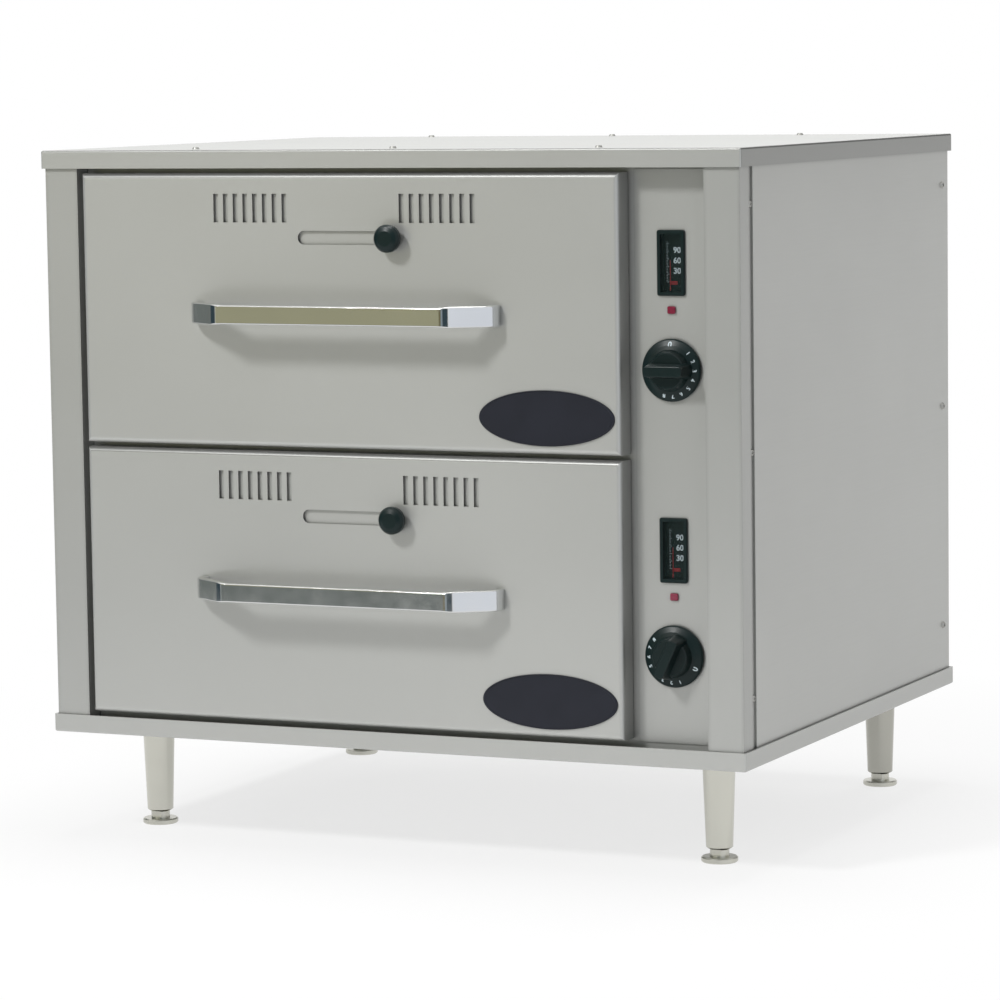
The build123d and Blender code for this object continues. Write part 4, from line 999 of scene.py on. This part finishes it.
class WARMER_OT_stage(bpy.types.Operator):
    """Sets up the camera, the pale floor and the soft studio light"""

    bl_idname = "warmer.stage"
    bl_label = "Set up studio"

    def execute(self, context):
        self.camera(context)
        self.world(context)
        self.floor()
        self.cards()
        self.lamps()
        context.scene.view_settings.view_transform = "Standard"
        return {"FINISHED"}

    def camera(self, context):
        """The camera stands to the right of the front and a little above the cabinet."""
        yaw = math.radians(24.5808)
        pitch = math.radians(5.9061)
        roll = math.radians(-0.8028)
        ahead = Vector((-math.sin(yaw) * math.cos(pitch), math.cos(yaw) * math.cos(pitch), -math.sin(pitch)))
        right = Vector((math.cos(yaw), math.sin(yaw), 0))
        up = right.cross(ahead)
        level = right * math.cos(roll) + up * math.sin(roll)
        upright = up * math.cos(roll) - right * math.sin(roll)
        data = bpy.data.cameras.new("Camera")
        sensor = 36.0
        focal_share = 4.2476
        data.sensor_width = sensor
        data.lens = sensor * focal_share
        data.clip_end = 60.0
        camera = bpy.data.objects.new("Camera", data)
        place = Matrix((level, upright, -ahead)).transposed().to_4x4()
        place.translation = (1.8088, -3.97555, 0.7752)
        camera.matrix_world = place
        context.scene.collection.objects.link(camera)
        context.scene.camera = camera

    def world(self, context):
        """Dim white light all round that mirrors see at full strength."""
        world = bpy.data.worlds.new("Studio")
        world.use_nodes = True
        tree = world.node_tree
        lit = tree.nodes["Background"]
        lit.inputs["Color"].default_value = (1.0, 1.0, 1.0, 1.0)
        lit.inputs["Strength"].default_value = 0.25
        shown = tree.nodes.new("ShaderNodeBackground")
        shown.inputs["Color"].default_value = (1.0, 1.0, 1.0, 1.0)
        shown.inputs["Strength"].default_value = 1.0
        mix = tree.nodes.new("ShaderNodeMixShader")
        tree.links.new(seen_ray(tree), mix.inputs["Fac"])
        tree.links.new(lit.outputs["Background"], mix.inputs[1])
        tree.links.new(shown.outputs["Background"], mix.inputs[2])
        tree.links.new(mix.outputs["Shader"], tree.nodes["World Output"].inputs["Surface"])
        context.scene.world = world

    def floor(self):
        """A pale floor that takes a soft shadow near the cabinet and fades to white further off."""
        target = bmesh.new()
        reach = 30.0
        outline = ((-reach, -reach), (reach, -reach), (reach, reach), (-reach, reach))
        target.faces.new([target.verts.new((x, y, 0)) for x, y in outline])
        material = bpy.data.materials.new("Pale floor")
        material.use_nodes = True
        tree = material.node_tree
        cloth = tree.nodes["Principled BSDF"]
        cloth.inputs["Base Color"].default_value = (0.86, 0.86, 0.86, 1.0)
        cloth.inputs["Roughness"].default_value = 0.9
        glow = tree.nodes.new("ShaderNodeEmission")
        glow.inputs["Strength"].default_value = 1.0
        mix = tree.nodes.new("ShaderNodeMixShader")
        coordinates = tree.nodes.new("ShaderNodeTexCoord")
        length = tree.nodes.new("ShaderNodeVectorMath")
        length.operation = "LENGTH"
        tree.links.new(coordinates.outputs["Object"], length.inputs[0])
        away = tree.nodes.new("ShaderNodeMapRange")
        away.inputs["From Min"].default_value = 0.25
        away.inputs["From Max"].default_value = 1.1
        away.inputs["To Min"].default_value = 0.72
        away.inputs["To Max"].default_value = 1.0
        tree.links.new(length.outputs["Value"], away.inputs["Value"])
        share = tree.nodes.new("ShaderNodeMath")
        share.operation = "MULTIPLY"
        tree.links.new(away.outputs["Result"], share.inputs[0])
        tree.links.new(seen_ray(tree), share.inputs[1])
        tree.links.new(share.outputs[0], mix.inputs["Fac"])
        tree.links.new(cloth.outputs["BSDF"], mix.inputs[1])
        tree.links.new(glow.outputs["Emission"], mix.inputs[2])
        tree.links.new(mix.outputs["Shader"], tree.nodes["Material Output"].inputs["Surface"])
        piece_from_bmesh("studio_floor", target, material)

    def cards(self):
        """Cards that only mirrors see, by their bearing clockwise from the front in degrees."""
        olive = (0.43, 0.42, 0.28)
        slate = (0.05, 0.075, 0.09)
        grey = (0.19, 0.21, 0.2)
        brown = (0.2, 0.18, 0.1)
        sky = (0.3, 0.36, 0.4)
        cool_white = (0.92, 0.96, 1.04)
        dark_olive = (0.2, 0.2, 0.13)
        reflection_card("left_card", -112, -80, 0.0, 1.5, grey)
        reflection_card("left_gap_card", -80, -46, 0.0, 1.5, slate)
        reflection_card("grip_card", -44, -13, 0.28, 1.5, olive)
        reflection_card("low_grip_card", -44, -13, 0.0, 0.27, grey)
        reflection_card("brown_card", -13, -6, 0.0, 1.5, brown)
        reflection_card("middle_card", -6, 4, 0.0, 1.5, sky)
        reflection_card("right_gap_card", 4, 31, 0.0, 1.5, slate)
        reflection_card("end_card", 36, 84, 0.0, 1.5, cool_white)
        reflection_card("side_card", 84, 118, 0.0, 1.5, dark_olive)
        reflection_card("rear_side_card", 128, 176, 0.75, 2.2, (0.3, 0.3, 0.3))

    def lamps(self):
        """A high key from the left, and weaker lamps from the right, the rear, above and below."""
        area_lamp("key_lamp", (-1.75, -3.7, 3.9), (0.0, -0.3, 0.4), 0.9, 175.0)
        area_lamp("fill_lamp", (3.4, 0.5, 0.7), (0.3, 0.1, 0.3), 1.6, 18.0)
        area_lamp("rear_lamp", (0.6, 3.4, 2.6), (0.0, 0.0, 0.4), 1.8, 26.0)
        area_lamp("top_lamp", (0.0, 0.3, 3.6), (0.0, 0.0, 0.7), 1.6, 60.0)
        low = area_lamp("low_lamp", (0.0, -1.5, 0.1), (-0.05, -0.3, 0.5), 0.35, 3.6)
        low.visible_glossy = False


def reflection_card(name, first, last, foot, top, colour):
    """A curved upright card around the cabinet, seen in polished metal and nowhere else."""
    distance = 2.0
    steps = 6
    target = bmesh.new()
    pairs = []
    for n in range(steps + 1):
        bearing = math.radians(first + (last - first) * n / steps)
        x = distance * math.sin(bearing)
        y = -distance * math.cos(bearing)
        pairs.append((target.verts.new((x, y, foot)), target.verts.new((x, y, top))))
    for (low, high), (next_low, next_high) in zip(pairs[:-1], pairs[1:]):
        target.faces.new((low, next_low, next_high, high))
    material = bpy.data.materials.new(name)
    material.use_nodes = True
    tree = material.node_tree
    glow = tree.nodes.new("ShaderNodeEmission")
    glow.inputs["Color"].default_value = (*colour, 1.0)
    tree.links.new(glow.outputs["Emission"], tree.nodes["Material Output"].inputs["Surface"])
    card = piece_from_bmesh(name, target, material)
    card.visible_camera = False
    card.visible_diffuse = False
    card.visible_transmission = False
    card.visible_shadow = False
    return card


def seen_ray(tree):
    """One for camera, mirror and glass rays, which see the white studio."""
    path = tree.nodes.new("ShaderNodeLightPath")
    total = path.outputs["Is Camera Ray"]
    for name in ("Is Glossy Ray", "Is Transmission Ray"):
        add = tree.nodes.new("ShaderNodeMath")
        add.operation = "MAXIMUM"
        tree.links.new(total, add.inputs[0])
        tree.links.new(path.outputs[name], add.inputs[1])
        total = add.outputs[0]
    return total


def area_lamp(name, position, target, size, power):
    data = bpy.data.lights.new(name, "AREA")
    data.shape = "DISK"
    data.size = size
    data.energy = power
    lamp = bpy.data.objects.new(name, data)
    lamp.location = position
    lamp.rotation_euler = (Vector(target) - Vector(position)).to_track_quat("-Z", "Y").to_euler()
    lamp.visible_camera = False
    bpy.context.scene.collection.objects.link(lamp)
    return lamp


OPERATORS = (
    WARMER_OT_stage,
    WARMER_OT_cabinet,
    WARMER_OT_drawers,
    WARMER_OT_controls,
    WARMER_OT_plates,
    WARMER_OT_dials,
    WARMER_OT_thermometers,
    WARMER_OT_screws,
)


class WARMER_PT_sidebar(bpy.types.Panel):
    """Lists the steps and the sizes and colours they use"""

    bl_idname = "WARMER_PT_sidebar"
    bl_label = "Warming Drawer"
    bl_space_type = "VIEW_3D"
    bl_region_type = "UI"
    bl_category = "Warming Drawer"

    def draw(self, context):
        layout = self.layout
        for operator in OPERATORS:
            layout.operator(operator.bl_idname, text=operator.bl_label)
        for settings in (context.scene.warmer_finish, context.scene.warmer_detail):
            box = layout.box()
            for name in settings.__annotations__:
                box.prop(settings, name)


CLASSES = (WarmerFinishSettings, WarmerDetailSettings, *OPERATORS, WARMER_PT_sidebar)


def register():
    for item in CLASSES:
        bpy.utils.register_class(item)
    bpy.types.Scene.warmer_finish = PointerProperty(type=WarmerFinishSettings)
    bpy.types.Scene.warmer_detail = PointerProperty(type=WarmerDetailSettings)


def unregister():
    del bpy.types.Scene.warmer_detail
    del bpy.types.Scene.warmer_finish
    for item in reversed(CLASSES):
        bpy.utils.unregister_class(item)


def main():
    register()
    bpy.ops.warmer.stage()
    bpy.ops.warmer.cabinet()
    bpy.ops.warmer.drawers()
    bpy.ops.warmer.controls()
    bpy.ops.warmer.plates()
    bpy.ops.warmer.dials()
    bpy.ops.warmer.thermometers()
    bpy.ops.warmer.screws()


if __name__ == "__main__":
    main()
